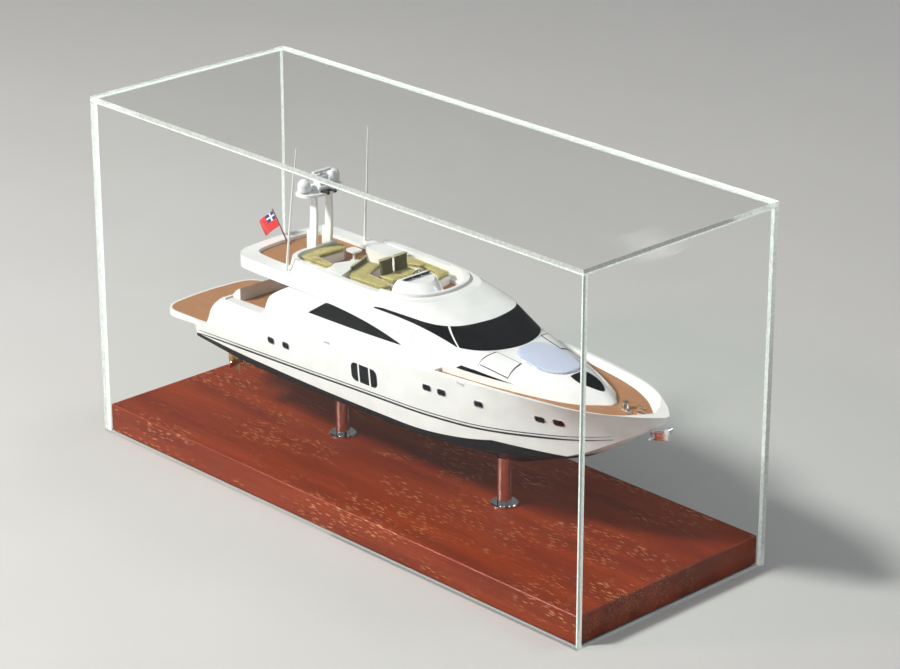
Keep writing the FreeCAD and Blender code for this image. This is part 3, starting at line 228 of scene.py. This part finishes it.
def mahogany():
    """Red-brown veneer under satin lacquer: broad figure, fine lines and pale filled pores along X."""
    s = Shader("mahogany_veneer_lacquered")
    figure = s.noise(s.millimetres((0.005, 0.045, 0.045)), 1.0, 5.0, 0.6)
    lines = s.noise(s.millimetres((0.035, 1.6, 1.6)), 1.0, 3.0, 0.7)
    patches = s.noise(s.millimetres((0.010, 0.03, 0.03)), 1.0, 3.0, 0.6)
    distance = s.cells(s.millimetres((1 / 13.0, 1 / 1.2, 1 / 1.2)))
    pores = s.fade(distance, 0.27, 0.17)
    pores = s.math("MULTIPLY", pores, s.fade(patches, 0.46, 0.6))
    wood = s.ramp(figure, (0.28, (0.140, 0.014, 0.003)), (0.72, (0.310, 0.042, 0.007)))
    wood = s.blend(s.fade(lines, 0.35, 0.75, 0.0, 0.4), wood, (0.095, 0.008, 0.002))
    wood = s.blend(s.math("MULTIPLY", pores, 0.75), wood, (0.85, 0.45, 0.20))
    relief = s.math("SUBTRACT", lines, pores)
    surface = s.principled(
        Base_Color=wood,
        Roughness=s.fade(lines, 0.2, 0.8, 0.34, 0.46),
        Specular_IOR_Level=0.15,
        Coat_Weight=0.08,
        Coat_Roughness=0.16,
        Normal=s.bump(relief, 0.02 * MM, 0.3),
    )
    return s.finish(surface)


PAINT_LINE = 99.8  # height of the hull's black bottom paint, level aft of x = 40
PAINT_LINE_CURVE = 1.1e-3
PAINT_LINE_RISE = 10.8  # how much higher it is at the bow


def gelcoat(name, bottom_paint=False):
    """Glossy white; the hull's bottom is black below a line that rises towards the bow."""
    s = Shader(name)
    cloud = s.noise(s.millimetres(), 0.05, 2.0, 0.5)
    grain = s.noise(s.millimetres(), 2.2, 2.0, 0.5)
    colour = s.blend(s.fade(cloud, 0.3, 0.7), (0.80, 0.80, 0.785), (0.86, 0.86, 0.85))
    roughness = s.fade(grain, 0.3, 0.7, 0.16, 0.24)
    gloss, coat = 0.5, 0.35
    if bottom_paint:
        x, _, z = s.axes()
        ahead = s.math("MAXIMUM", s.math("SUBTRACT", x, 40.0), 0.0)
        rise = s.math("MULTIPLY", s.math("MULTIPLY", ahead, ahead), PAINT_LINE_CURVE)
        line = s.math("ADD", PAINT_LINE, s.math("MINIMUM", rise, PAINT_LINE_RISE))
        painted = s.fade(s.math("SUBTRACT", line, z), -0.08, 0.08)
        colour = s.blend(painted, colour, (0.010, 0.011, 0.013))
        roughness = s.math("ADD", roughness, s.math("MULTIPLY", painted, 0.12))
        gloss = s.fade(painted, 0.0, 1.0, 0.5, 0.12)
        coat = s.fade(painted, 0.0, 1.0, 0.35, 0.0)
    surface = s.principled(
        Base_Color=colour,
        Roughness=roughness,
        Specular_IOR_Level=gloss,
        Coat_Weight=coat,
        Coat_Roughness=0.05,
        Normal=s.bump(grain, 0.01 * MM, 0.12),
    )
    return s.finish(surface)


def tinted_glazing():
    """Near-black glossy panes."""
    s = Shader("tinted_glazing_gloss")
    cloud = s.noise(s.millimetres(), 0.03, 2.0, 0.5)
    surface = s.principled(
        Base_Color=s.blend(cloud, (0.002, 0.003, 0.004), (0.006, 0.007, 0.010)),
        Roughness=s.fade(cloud, 0.3, 0.8, 0.04, 0.09),
        Specular_IOR_Level=0.14,
    )
    return s.finish(surface)


def teak():
    """Narrow planks along X with dark caulking, each plank its own tone."""
    s = Shader("teak_planks")
    plank = 1.7
    caulk = 0.1
    _, y, _ = s.axes()
    strip = s.math("DIVIDE", y, plank)
    place = s.math("FRACT", s.math("ADD", strip, 100.5))
    edge = s.math("ABSOLUTE", s.math("SUBTRACT", place, 0.5))
    seam = s.fade(edge, 0.5 - caulk, 0.5 - 0.4 * caulk)
    tone = s.speckle(s.math("FLOOR", s.math("ADD", strip, 100.5)))
    grain = s.noise(s.millimetres((0.09, 2.2, 2.2)), 1.0, 4.0, 0.65)
    wood = s.ramp(grain, (0.25, (0.30, 0.135, 0.060)), (0.8, (0.50, 0.255, 0.125)))
    wood = s.blend(s.math("MULTIPLY", tone, 0.35), wood, (0.26, 0.115, 0.05))
    colour = s.blend(s.math("MULTIPLY", seam, 0.6), wood, (0.07, 0.035, 0.02))
    height = s.math("SUBTRACT", s.math("MULTIPLY", grain, 0.3), seam)
    surface = s.principled(
        Base_Color=colour,
        Roughness=0.62,
        Normal=s.bump(height, 0.05 * MM, 0.5),
    )
    return s.finish(surface)


def metal(name, colour, roughness, spread=0.06):
    """Polished or turned metal with faint smudges."""
    s = Shader(name)
    smudge = s.noise(s.millimetres(), 0.12, 4.0, 0.6)
    worn = tuple(0.8 * c for c in colour)
    surface = s.principled(
        Base_Color=s.blend(s.fade(smudge, 0.35, 0.75), colour, worn),
        Metallic=1.0,
        Roughness=s.fade(smudge, 0.3, 0.8, roughness, roughness + spread),
    )
    return s.finish(surface)


def plastic(name, colour, roughness=0.4, speck=0.05):
    """Painted or moulded small fittings."""
    s = Shader(name)
    grain = s.noise(s.millimetres(), 3.0, 3.0, 0.6)
    darker = tuple(c * (1 - speck * 3) for c in colour)
    surface = s.principled(
        Base_Color=s.blend(grain, darker, colour),
        Roughness=s.fade(grain, 0.3, 0.7, roughness - 0.05, roughness + 0.05),
        Normal=s.bump(grain, 0.01 * MM, 0.3),
    )
    return s.finish(surface)


def upholstery(name, colour, shade):
    """Woven cover fabric, with the threads' crossing and soft tone changes."""
    s = Shader(name)
    x, y, z = s.axes()
    thread = 0.32
    across = s.math("SINE", s.math("MULTIPLY", s.math("ADD", x, z), 2 * math.pi / thread))
    along = s.math("SINE", s.math("MULTIPLY", s.math("SUBTRACT", y, z), 2 * math.pi / thread))
    weave = s.math("MULTIPLY", s.math("ADD", s.math("MULTIPLY", across, along), 1.0), 0.5)
    cloud = s.noise(s.millimetres(), 0.25, 3.0, 0.6)
    colour = s.blend(s.fade(cloud, 0.3, 0.7), shade, colour)
    colour = s.blend(s.math("MULTIPLY", weave, 0.25), colour, shade)
    surface = s.principled(
        Base_Color=colour,
        Roughness=0.75,
        Sheen_Weight=0.25,
        Normal=s.bump(weave, 0.05 * MM, 0.4),
    )
    return s.finish(surface)


def sunpad_fabric():
    """Pale blue-grey cover with a fine grid."""
    s = Shader("sunpad_grid_fabric")
    x, y, _ = s.axes()
    pitch = 2.2
    lines = []
    for place in (x, y):
        step = s.math("FRACT", s.math("ADD", s.math("DIVIDE", place, pitch), 100.0))
        edge = s.math("ABSOLUTE", s.math("SUBTRACT", step, 0.5))
        lines.append(s.fade(edge, 0.34, 0.42))
    grid = s.math("MAXIMUM", lines[0], lines[1])
    cloud = s.noise(s.millimetres(), 0.15, 3.0, 0.5)
    colour = s.blend(cloud, (0.27, 0.32, 0.50), (0.33, 0.38, 0.57))
    colour = s.blend(s.math("MULTIPLY", grid, 0.9), colour, (0.80, 0.84, 0.90))
    surface = s.principled(
        Base_Color=colour,
        Roughness=0.8,
        Sheen_Weight=0.2,
        Normal=s.bump(s.math("SUBTRACT", 1.0, grid), 0.08 * MM, 0.4),
    )
    return s.finish(surface)


# the flag's two sides and its upper corner at the staff, in millimetres
FLAG_HOIST = Vector((8.8, 0.0, -11.8))
FLAG_OUT = Vector((-19.5, 0.0, -15.0))
FLAG_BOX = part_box("ensign")
FLAG_HEAD = Vector((FLAG_BOX[1].x / MM - FLAG_HOIST.x, 0.0, FLAG_BOX[1].z / MM))


def flag_cloth():
    """Red bunting with a dark blue canton that carries a plain white cross."""
    s = Shader("flag_bunting")
    out = s.along(FLAG_HEAD, FLAG_OUT)
    down = s.along(FLAG_HEAD, FLAG_HOIST)
    weave = s.noise(s.millimetres(), 6.0, 2.0, 0.5)
    red = s.blend(weave, (0.52, 0.010, 0.012), (0.70, 0.020, 0.022))
    canton = s.math("MULTIPLY", s.math("LESS_THAN", out, 0.5), s.math("LESS_THAN", down, 0.5))
    arms = []
    for share in (out, down):
        off_centre = s.math("ABSOLUTE", s.math("SUBTRACT", share, 0.25))
        arms.append(s.math("LESS_THAN", off_centre, 0.045))
    cross = s.math("MULTIPLY", s.math("MAXIMUM", arms[0], arms[1]), canton)
    colour = s.blend(canton, red, (0.015, 0.025, 0.16))
    colour = s.blend(cross, colour, (0.80, 0.80, 0.80))
    surface = s.principled(
        Base_Color=colour,
        Roughness=0.7,
        Sheen_Weight=0.2,
        Normal=s.bump(weave, 0.02 * MM, 0.4),
    )
    return s.finish(surface)


SLOTS = {
    "clear_acrylic": acrylic_face(),
    "mahogany_veneer": mahogany(),
    "foot_pad": plastic("foot_pad_rubber", (0.05, 0.05, 0.05), 0.7),
    "chrome": metal("chrome_polished", (0.80, 0.81, 0.83), 0.07),
    "steel": metal("steel_zinc", (0.62, 0.62, 0.60), 0.25),
    "brass": metal("brass_turned", (0.75, 0.55, 0.25), 0.22),
    "bronze": metal("bronze_cast", (0.62, 0.38, 0.17), 0.26),
    "gelcoat": gelcoat("gelcoat_white"),
    "tinted_glazing": tinted_glazing(),
    "vinyl_stripe": plastic("vinyl_stripe_black", (0.012, 0.013, 0.016), 0.3),
    "port_rim": metal("port_rim_polished", (0.75, 0.76, 0.78), 0.16),
    "teak": teak(),
    "olive_upholstery": upholstery("olive_woven_cover", (0.45, 0.39, 0.13), (0.32, 0.27, 0.08)),
    # the seat backs' cover: the olive cloth darkened as painted shade
    "dark_olive": upholstery("olive_cover_painted_shade", (0.10, 0.09, 0.03), (0.055, 0.05, 0.016)),
    "sunpad_fabric": sunpad_fabric(),
    "instrument_black": plastic("instrument_black_satin", (0.02, 0.02, 0.022), 0.3),
    "radome": plastic("radome_white_satin", (0.74, 0.76, 0.78), 0.28, 0.01),
    "whip_white": plastic("whip_white_gloss", (0.82, 0.82, 0.80), 0.25, 0.01),
    "staff_brown": plastic("staff_varnished", (0.20, 0.035, 0.02), 0.3),
    "flag_cloth": flag_cloth(),
}
PIPING = upholstery("olive_piping_cord", (0.62, 0.56, 0.27), (0.50, 0.45, 0.20))
ACRYLIC_EDGE = acrylic_edge()
# dark grey for the walls of the lid gaps: painted shade
GAP_SHADE = plastic("lid_gap_painted_shade", (0.06, 0.06, 0.065), 0.6)
HULL_FINISH = gelcoat("gelcoat_hull_bottom_paint", bottom_paint=True)


# the axis, 0 to 2, that each cover panel's broad faces look along
PANEL_AXES = {
    "cover_front": 1,
    "cover_back": 1,
    "cover_left": 0,
    "cover_right": 0,
    "cover_top": 2,
}


def clad_nodes():
    """Each node's packed material is named after its slot, which gives the finished material."""
    slots = {name: node.data.materials[0].name.split(".")[0] for name, node in NODES.items()}
    for name, node in NODES.items():
        node.data.materials.clear()
        node.data.materials.append(SLOTS[slots[name]])
    NODES["hull"].data.materials[0] = HULL_FINISH


def glow_panel_edges():
    """The cover panels' broad faces stay clear, and their narrow faces get the edge material with its
    painted glow.
    """
    for name, axis in PANEL_AXES.items():
        mesh = NODES[name].data
        mesh.materials.append(ACRYLIC_EDGE)
        for face in mesh.polygons:
            face.material_index = 0 if abs(face.normal[axis]) > 0.5 else 1


def darken_lid_gaps():
    """The upright walls of the narrow gaps round the locker lids are a dark grey: painted shade in the
    gaps.
    """
    low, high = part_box("deck_hatches")
    reach = 2.0 * MM  # the gaps end within this distance of the lids
    for name in ("deck_hatches", "superstructure"):
        mesh = NODES[name].data
        mesh.materials.append(GAP_SHADE)
        for face in mesh.polygons:
            place = face.center
            near = low.x - reach < place.x < high.x + reach and abs(place.y) < high.y + reach
            if near and abs(face.normal.z) < 0.05 and place.z > low.z - reach:
                # painted shade on the gap wall
                face.material_index = 1


clad_nodes()
glow_panel_edges()
darken_lid_gaps()


# ---------------------------------------------------------------- soft goods

ENLARGED = 12.0  # pads go through the cloth solver at this many times their size
VOXEL = 0.005
PRESSURE = 4.0
FRAMES = 20
SWELL = 0.8 * MM  # furthest a point of a pad may move while it fills out


def piece_from(mesh, name, material, slot, *nodes):
    """A finished soft piece that rides with the display and stands for CAD nodes."""
    mesh.name = name
    mesh.materials.clear()
    mesh.materials.append(material)
    for face in mesh.polygons:
        face.use_smooth = True
    piece = bpy.data.objects.new(name, mesh)
    bpy.context.scene.collection.objects.link(piece)
    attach(piece, "display")
    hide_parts(*nodes)
    return piece


def evaluated_mesh(thing):
    """The mesh that an object's modifiers leave."""
    graph = bpy.context.evaluated_depsgraph_get()
    return bpy.data.meshes.new_from_object(thing.evaluated_get(graph))


def welded(mesh):
    """A copy of a mesh whose coincident points are joined."""
    shape = bmesh.new()
    shape.from_mesh(mesh)
    bmesh.ops.remove_doubles(shape, verts=shape.verts, dist=0.01 * MM)
    joined = bpy.data.meshes.new("welded")
    shape.to_mesh(joined)
    shape.free()
    return joined


def fill_out(body):
    """Blow the pad up with the cloth solver, and return the points' new places."""
    cloth = body.modifiers.new("filling", "CLOTH")
    cloth.settings.use_pressure = True
    cloth.settings.uniform_pressure_force = PRESSURE
    cloth.settings.effector_weights.gravity = 0.0
    for frame_number in range(1, FRAMES + 1):
        bpy.context.scene.frame_set(frame_number)
    settled = evaluated_mesh(body)
    body.modifiers.clear()
    bpy.context.scene.frame_set(1)
    return [point.co.copy() for point in settled.vertices]


def padded(solid, inset=0.35 * MM):
    """A closed mesh as a filled pad: even faces, rounded edges and a flat underside."""
    low = min(point.co.z for point in solid.vertices)
    middle = sum((point.co for point in solid.vertices), Vector()) / len(solid.vertices)
    solid.transform(Matrix.Scale(ENLARGED, 4) @ Matrix.Translation(-middle))
    body = bpy.data.objects.new("pad_in_progress", solid)
    bpy.context.scene.collection.objects.link(body)
    remesh = body.modifiers.new("even_faces", "REMESH")
    remesh.mode = "VOXEL"
    remesh.voxel_size = VOXEL
    shrink = body.modifiers.new("shrink", "DISPLACE")
    shrink.mid_level = 0.0
    shrink.strength = -inset * ENLARGED
    body.data = evaluated_mesh(body)
    body.modifiers.clear()
    limit = SWELL * ENLARGED
    for point, place in zip(body.data.vertices, fill_out(body)):
        move = place - point.co
        if move.length > limit:
            move = move * (limit / move.length)
        point.co = point.co + move
    mesh = body.data
    bpy.data.objects.remove(body)
    mesh.transform(Matrix.Translation(middle) @ Matrix.Scale(1 / ENLARGED, 4))
    for point in mesh.vertices:
        point.co.z = max(point.co.z, low)
    return mesh


def sewn(mesh, seams, width=0.7 * MM, depth=0.45 * MM, crown=1.6 * MM):
    """Press seams into a pad's crown; each is a plan line between two points in millimetres."""
    top = max(point.co.z for point in mesh.vertices)
    for start, end in seams:
        a, b = Vector(start) * MM, Vector(end) * MM
        way = b - a
        for point in mesh.vertices:
            flat = Vector((point.co.x, point.co.y))
            share = min(max((flat - a).dot(way) / way.length_squared, 0.0), 1.0)
            gap = (flat - a - way * share).length
            if gap < width and point.co.z > top - crown:
                point.co.z -= depth * (1 - gap / width) ** 2
    return mesh


def rim_loops(mesh):
    """Closed loops of points round the upper faces of a solid."""
    shape = bmesh.new()
    shape.from_mesh(mesh)
    shape.normal_update()
    ahead = {}
    for edge in shape.edges:
        levels = sorted(face.normal.z for face in edge.link_faces)
        if len(levels) == 2 and levels[0] < 0.5 < levels[1]:
            upper = max(edge.link_faces, key=lambda face: face.normal.z)
            loop = next(loop for loop in edge.link_loops if loop.face == upper)
            ahead[loop.vert.co.copy().freeze()] = loop.link_loop_next.vert.co.copy().freeze()
    shape.free()
    loops = []
    while ahead:
        start = next(iter(ahead))
        points, here = [], start
        while here in ahead:
            points.append(here)
            here = ahead.pop(here)
        loops.append(points)
    return loops


def piping(name, mesh, nodes, radius=0.38 * MM, inset=0.45 * MM, drop=0.3 * MM):
    """A cord round the upper edges of a solid, just inside its outline."""
    curve = bpy.data.curves.new(name, "CURVE")
    curve.dimensions = "3D"
    curve.bevel_depth = radius
    curve.bevel_resolution = 2
    for points in rim_loops(mesh):
        spline = curve.splines.new("POLY")
        spline.points.add(len(points) - 1)
        spline.use_cyclic_u = True
        for i, point in enumerate(points):
            before, after = points[i - 1], points[(i + 1) % len(points)]
            way = (after - point).normalized() + (point - before).normalized()
            inwards = Vector((-way.y, way.x, 0.0)).normalized()
            place = point + inwards * inset - Vector((0.0, 0.0, drop))
            spline.points[i].co = (*place, 1.0)
    holder = bpy.data.objects.new("cord", curve)
    bpy.context.scene.collection.objects.link(holder)
    cord = evaluated_mesh(holder)
    bpy.data.objects.remove(holder)
    return piece_from(cord, name, PIPING, "olive_upholstery", *nodes)


def cushion_set(node, name, material, slot, seams=(), corded=True):
    """The padded stand-in for one CAD cushion node."""
    solid = welded(NODES[node].data)
    if corded:
        piping(f"{name}_piping", solid, (node,))
    pad = piece_from(sewn(padded(solid), seams), name, material, slot, node)
    pad.modifiers.new("smooth", "SUBSURF").levels = 1
    return pad


def hexahedron(lower, upper, low, high):
    """A solid between two plan rectangles (x0, x1, y0, y1), given in millimetres."""
    points = []
    for (x0, x1, y0, y1), z in ((lower, low), (upper, high)):
        points += [Vector(p) * MM for p in ((x0, y0, z), (x1, y0, z), (x1, y1, z), (x0, y1, z))]
    faces = [(3, 2, 1, 0), (4, 5, 6, 7)] + [
        (i, (i + 1) % 4, 4 + (i + 1) % 4, 4 + i) for i in range(4)
    ]
    mesh = bpy.data.meshes.new("block")
    mesh.from_pydata(points, [], faces)
    return mesh


PILOT_SEATS = {"starboard": -8.5, "port": 8.5}  # the y of each seat's middle, in millimetres
SEAT_HALF_WIDTH = 7.4
PLINTH_HEIGHT = 7.0
SQUAB_THICKNESS = 4.5


def pilot_seats():
    """Two seats: a rounded white plinth, a light squab and a back in olive darkened as painted shade,
    with a light cord each.
    """
    low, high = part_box("pilot_seats")
    back, front = low.x / MM, high.x / MM
    floor, top = low.z / MM, high.z / MM
    squab_low = floor + PLINTH_HEIGHT
    squab_high = squab_low + SQUAB_THICKNESS
    for side, middle in PILOT_SEATS.items():
        near, far = middle - SEAT_HALF_WIDTH, middle + SEAT_HALF_WIDTH
        plinth = hexahedron(
            (back + 3, front - 4, middle - 4, middle + 4),
            (back + 3, front - 3, middle - 5, middle + 5),
            floor,
            squab_low,
        )
        stand = piece_from(
            plinth, f"pilot_seat_plinth_{side}", SLOTS["gelcoat"], "gelcoat", "pilot_seats"
        )
        soften = stand.modifiers.new("eased", "BEVEL")
        soften.width = 1.2 * MM
        soften.segments = 4
        squab = hexahedron(
            (back + 2, front, near, far), (back + 3, front, near, far), squab_low, squab_high
        )
        rest = hexahedron(
            (back + 1.6, back + 6, near, far), (back, back + 3.2, near, far), squab_low, top
        )
        for label, solid, material, slot in (
            ("squab", squab, SLOTS["olive_upholstery"], "olive_upholstery"),
            # the back takes the olive darkened as painted shade
            ("back", rest, SLOTS["dark_olive"], "dark_olive"),
        ):
            name = f"pilot_seat_{label}_{side}"
            piping(f"{name}_piping", solid, ("pilot_seats",), radius=0.55 * MM)
            pad = piece_from(padded(solid), name, material, slot, "pilot_seats")
            pad.modifiers.new("smooth", "SUBSURF").levels = 1


FOLDS = 1.15  # waves along the fly
FOLD_LEAN = 0.22  # share of a wave by which the folds run ahead at the foot of the flag
FOLD_DEPTH = 1.3
FLAG_DROOP = 1.2


def ensign():
    """The flag: a sheet that hangs out from its staff in soft folds."""
    columns, rows = 36, 24
    points, faces = [], []
    for row in range(rows + 1):
        for column in range(columns + 1):
            down, out = row / rows, column / columns
            place = FLAG_HEAD + FLAG_HOIST * down + FLAG_OUT * out
            wave = math.sin(2 * math.pi * (FOLDS * out + FOLD_LEAN * down)) * out ** 0.6
            droop = FLAG_DROOP * out * out * math.sin(math.pi * down)
            points.append((place + Vector((0.0, FOLD_DEPTH * wave, -droop))) * MM)
    for row in range(rows):
        for column in range(columns):
            corner = row * (columns + 1) + column
            faces.append((corner, corner + 1, corner + columns + 2, corner + columns + 1))
    mesh = bpy.data.meshes.new("ensign_cloth")
    mesh.from_pydata(points, [], faces)
    flag = piece_from(mesh, "ensign_cloth", SLOTS["flag_cloth"], "flag_cloth", "ensign")
    hem = flag.modifiers.new("thickness", "SOLIDIFY")
    hem.thickness = 0.25 * MM


cushion_set(
    "aft_settee_cushions",
    "aft_settee_pads",
    SLOTS["olive_upholstery"],
    "olive_upholstery",
    seams=[((-113, -31), (-102, -20)), ((-117, -4), (-101, -4)), ((-92, -34), (-91, -20))],
)
cushion_set(
    "forward_settee_cushions",
    "forward_settee_pads",
    SLOTS["olive_upholstery"],
    "olive_upholstery",
    seams=[((-52.6, -28), (-39.4, -18.6)), ((-60, -9), (-44, -9)), ((-30, -36), (-27, -17))],
)
cushion_set(
    "lounge_pad",
    "lounge_seat_pad",
    SLOTS["olive_upholstery"],
    "olive_upholstery",
    seams=[((-24, 38), (-22, 25)), ((-8, 38), (-6.6, 24))],
)
# the backrest takes the olive darkened as painted shade
cushion_set("settee_backrest", "settee_back_pad", SLOTS["dark_olive"], "dark_olive")
cushion_set("sunpad", "sunpad_cover", SLOTS["sunpad_fabric"], "sunpad_fabric", corded=False)
pilot_seats()
ensign()


# ---------------------------------------------------------------- studio


def studio_floor():
    """A pale floor that curves up into a wall far from the object."""
    radius, bend, height = 7.0, 2.0, 6.0
    sides, bend_steps = 96, 12
    profile = [(0.0, 0.0), (1.5, 0.0), (3.5, 0.0), (radius - bend, 0.0)]
    for step in range(1, bend_steps + 1):
        turn = math.radians(90.0 * step / bend_steps)
        profile.append((radius - bend + bend * math.sin(turn), bend - bend * math.cos(turn)))
    profile.append((radius, height))
    points, faces = [], []
    for distance, level in profile:
        for side in range(sides):
            angle = 2 * math.pi * side / sides
            points.append((distance * math.cos(angle), distance * math.sin(angle), level))
    for ring in range(len(profile) - 1):
        for side in range(sides):
            ahead = (side + 1) % sides
            low, high = ring * sides, (ring + 1) * sides
            faces.append((low + side, low + ahead, high + ahead, high + side))
    mesh = bpy.data.meshes.new("studio_floor")
    mesh.from_pydata(points, [], faces)
    for face in mesh.polygons:
        face.use_smooth = True
    floor = bpy.data.objects.new("studio_floor", mesh)
    bpy.context.scene.collection.objects.link(floor)
    s = Shader("studio_floor_pale")
    cloud = s.noise(s.millimetres(), 0.004, 4.0, 0.6)
    mesh.materials.append(
        s.finish(
            s.principled(
                Base_Color=s.blend(cloud, (0.50, 0.50, 0.49), (0.54, 0.54, 0.53)), Roughness=0.75
            )
        )
    )


def area_light(name, place, target, size, power, colour):
    """A round lamp that faces its target."""
    data = bpy.data.lights.new(name, "AREA")
    data.shape = "DISK"
    data.size = size
    data.energy = power
    data.color = colour
    lamp = bpy.data.objects.new(name, data)
    lamp.location = place
    lamp.rotation_mode = "QUATERNION"
    lamp.rotation_quaternion = (Vector(target) - Vector(place)).to_track_quat("-Z", "Y")
    bpy.context.scene.collection.objects.link(lamp)


def studio_lights():
    """A sunny key from the left, a soft fill from the right and a rim from behind."""
    middle = (CAD_BOX[0] + CAD_BOX[1]) / 2
    area_light("key", middle + Vector((-1.1, -2.0, 1.9)), middle, 0.5, 122.0, (1.0, 0.97, 0.93))
    area_light("fill", middle + Vector((2.2, -2.4, 2.6)), middle, 1.8, 20.0, (0.94, 0.97, 1.0))
    area_light("rim", middle + Vector((1.3, 2.5, 2.4)), middle, 1.2, 22.0, (1.0, 1.0, 1.0))
    world = bpy.data.worlds.new("studio")
    world.use_nodes = True
    background = world.node_tree.nodes["Background"]
    background.inputs["Color"].default_value = (0.92, 0.95, 1.0, 1.0)
    background.inputs["Strength"].default_value = 0.3
    bpy.context.scene.world = world


def photo_camera():
    """A long lens to the right of the bow, looking down at the case."""
    azimuth = math.radians(46.19)
    elevation = math.radians(21.82)
    back = Vector(
        (
            math.sin(azimuth) * math.cos(elevation),
            -math.cos(azimuth) * math.cos(elevation),
            math.sin(elevation),
        )
    )
    data = bpy.data.cameras.new("camera")
    data.sensor_width = 36.0
    data.lens = 123.34
    data.clip_start = 0.05
    data.clip_end = 60.0
    camera = bpy.data.objects.new("camera", data)
    camera.location = (1.7861, -1.6757, 1.1307)
    camera.rotation_mode = "QUATERNION"
    camera.rotation_quaternion = (-back).to_track_quat("-Z", "Y")
    bpy.context.scene.collection.objects.link(camera)
    bpy.context.scene.camera = camera


studio_floor()
studio_lights()
photo_camera()
bpy.context.scene.view_settings.view_transform = "Standard"
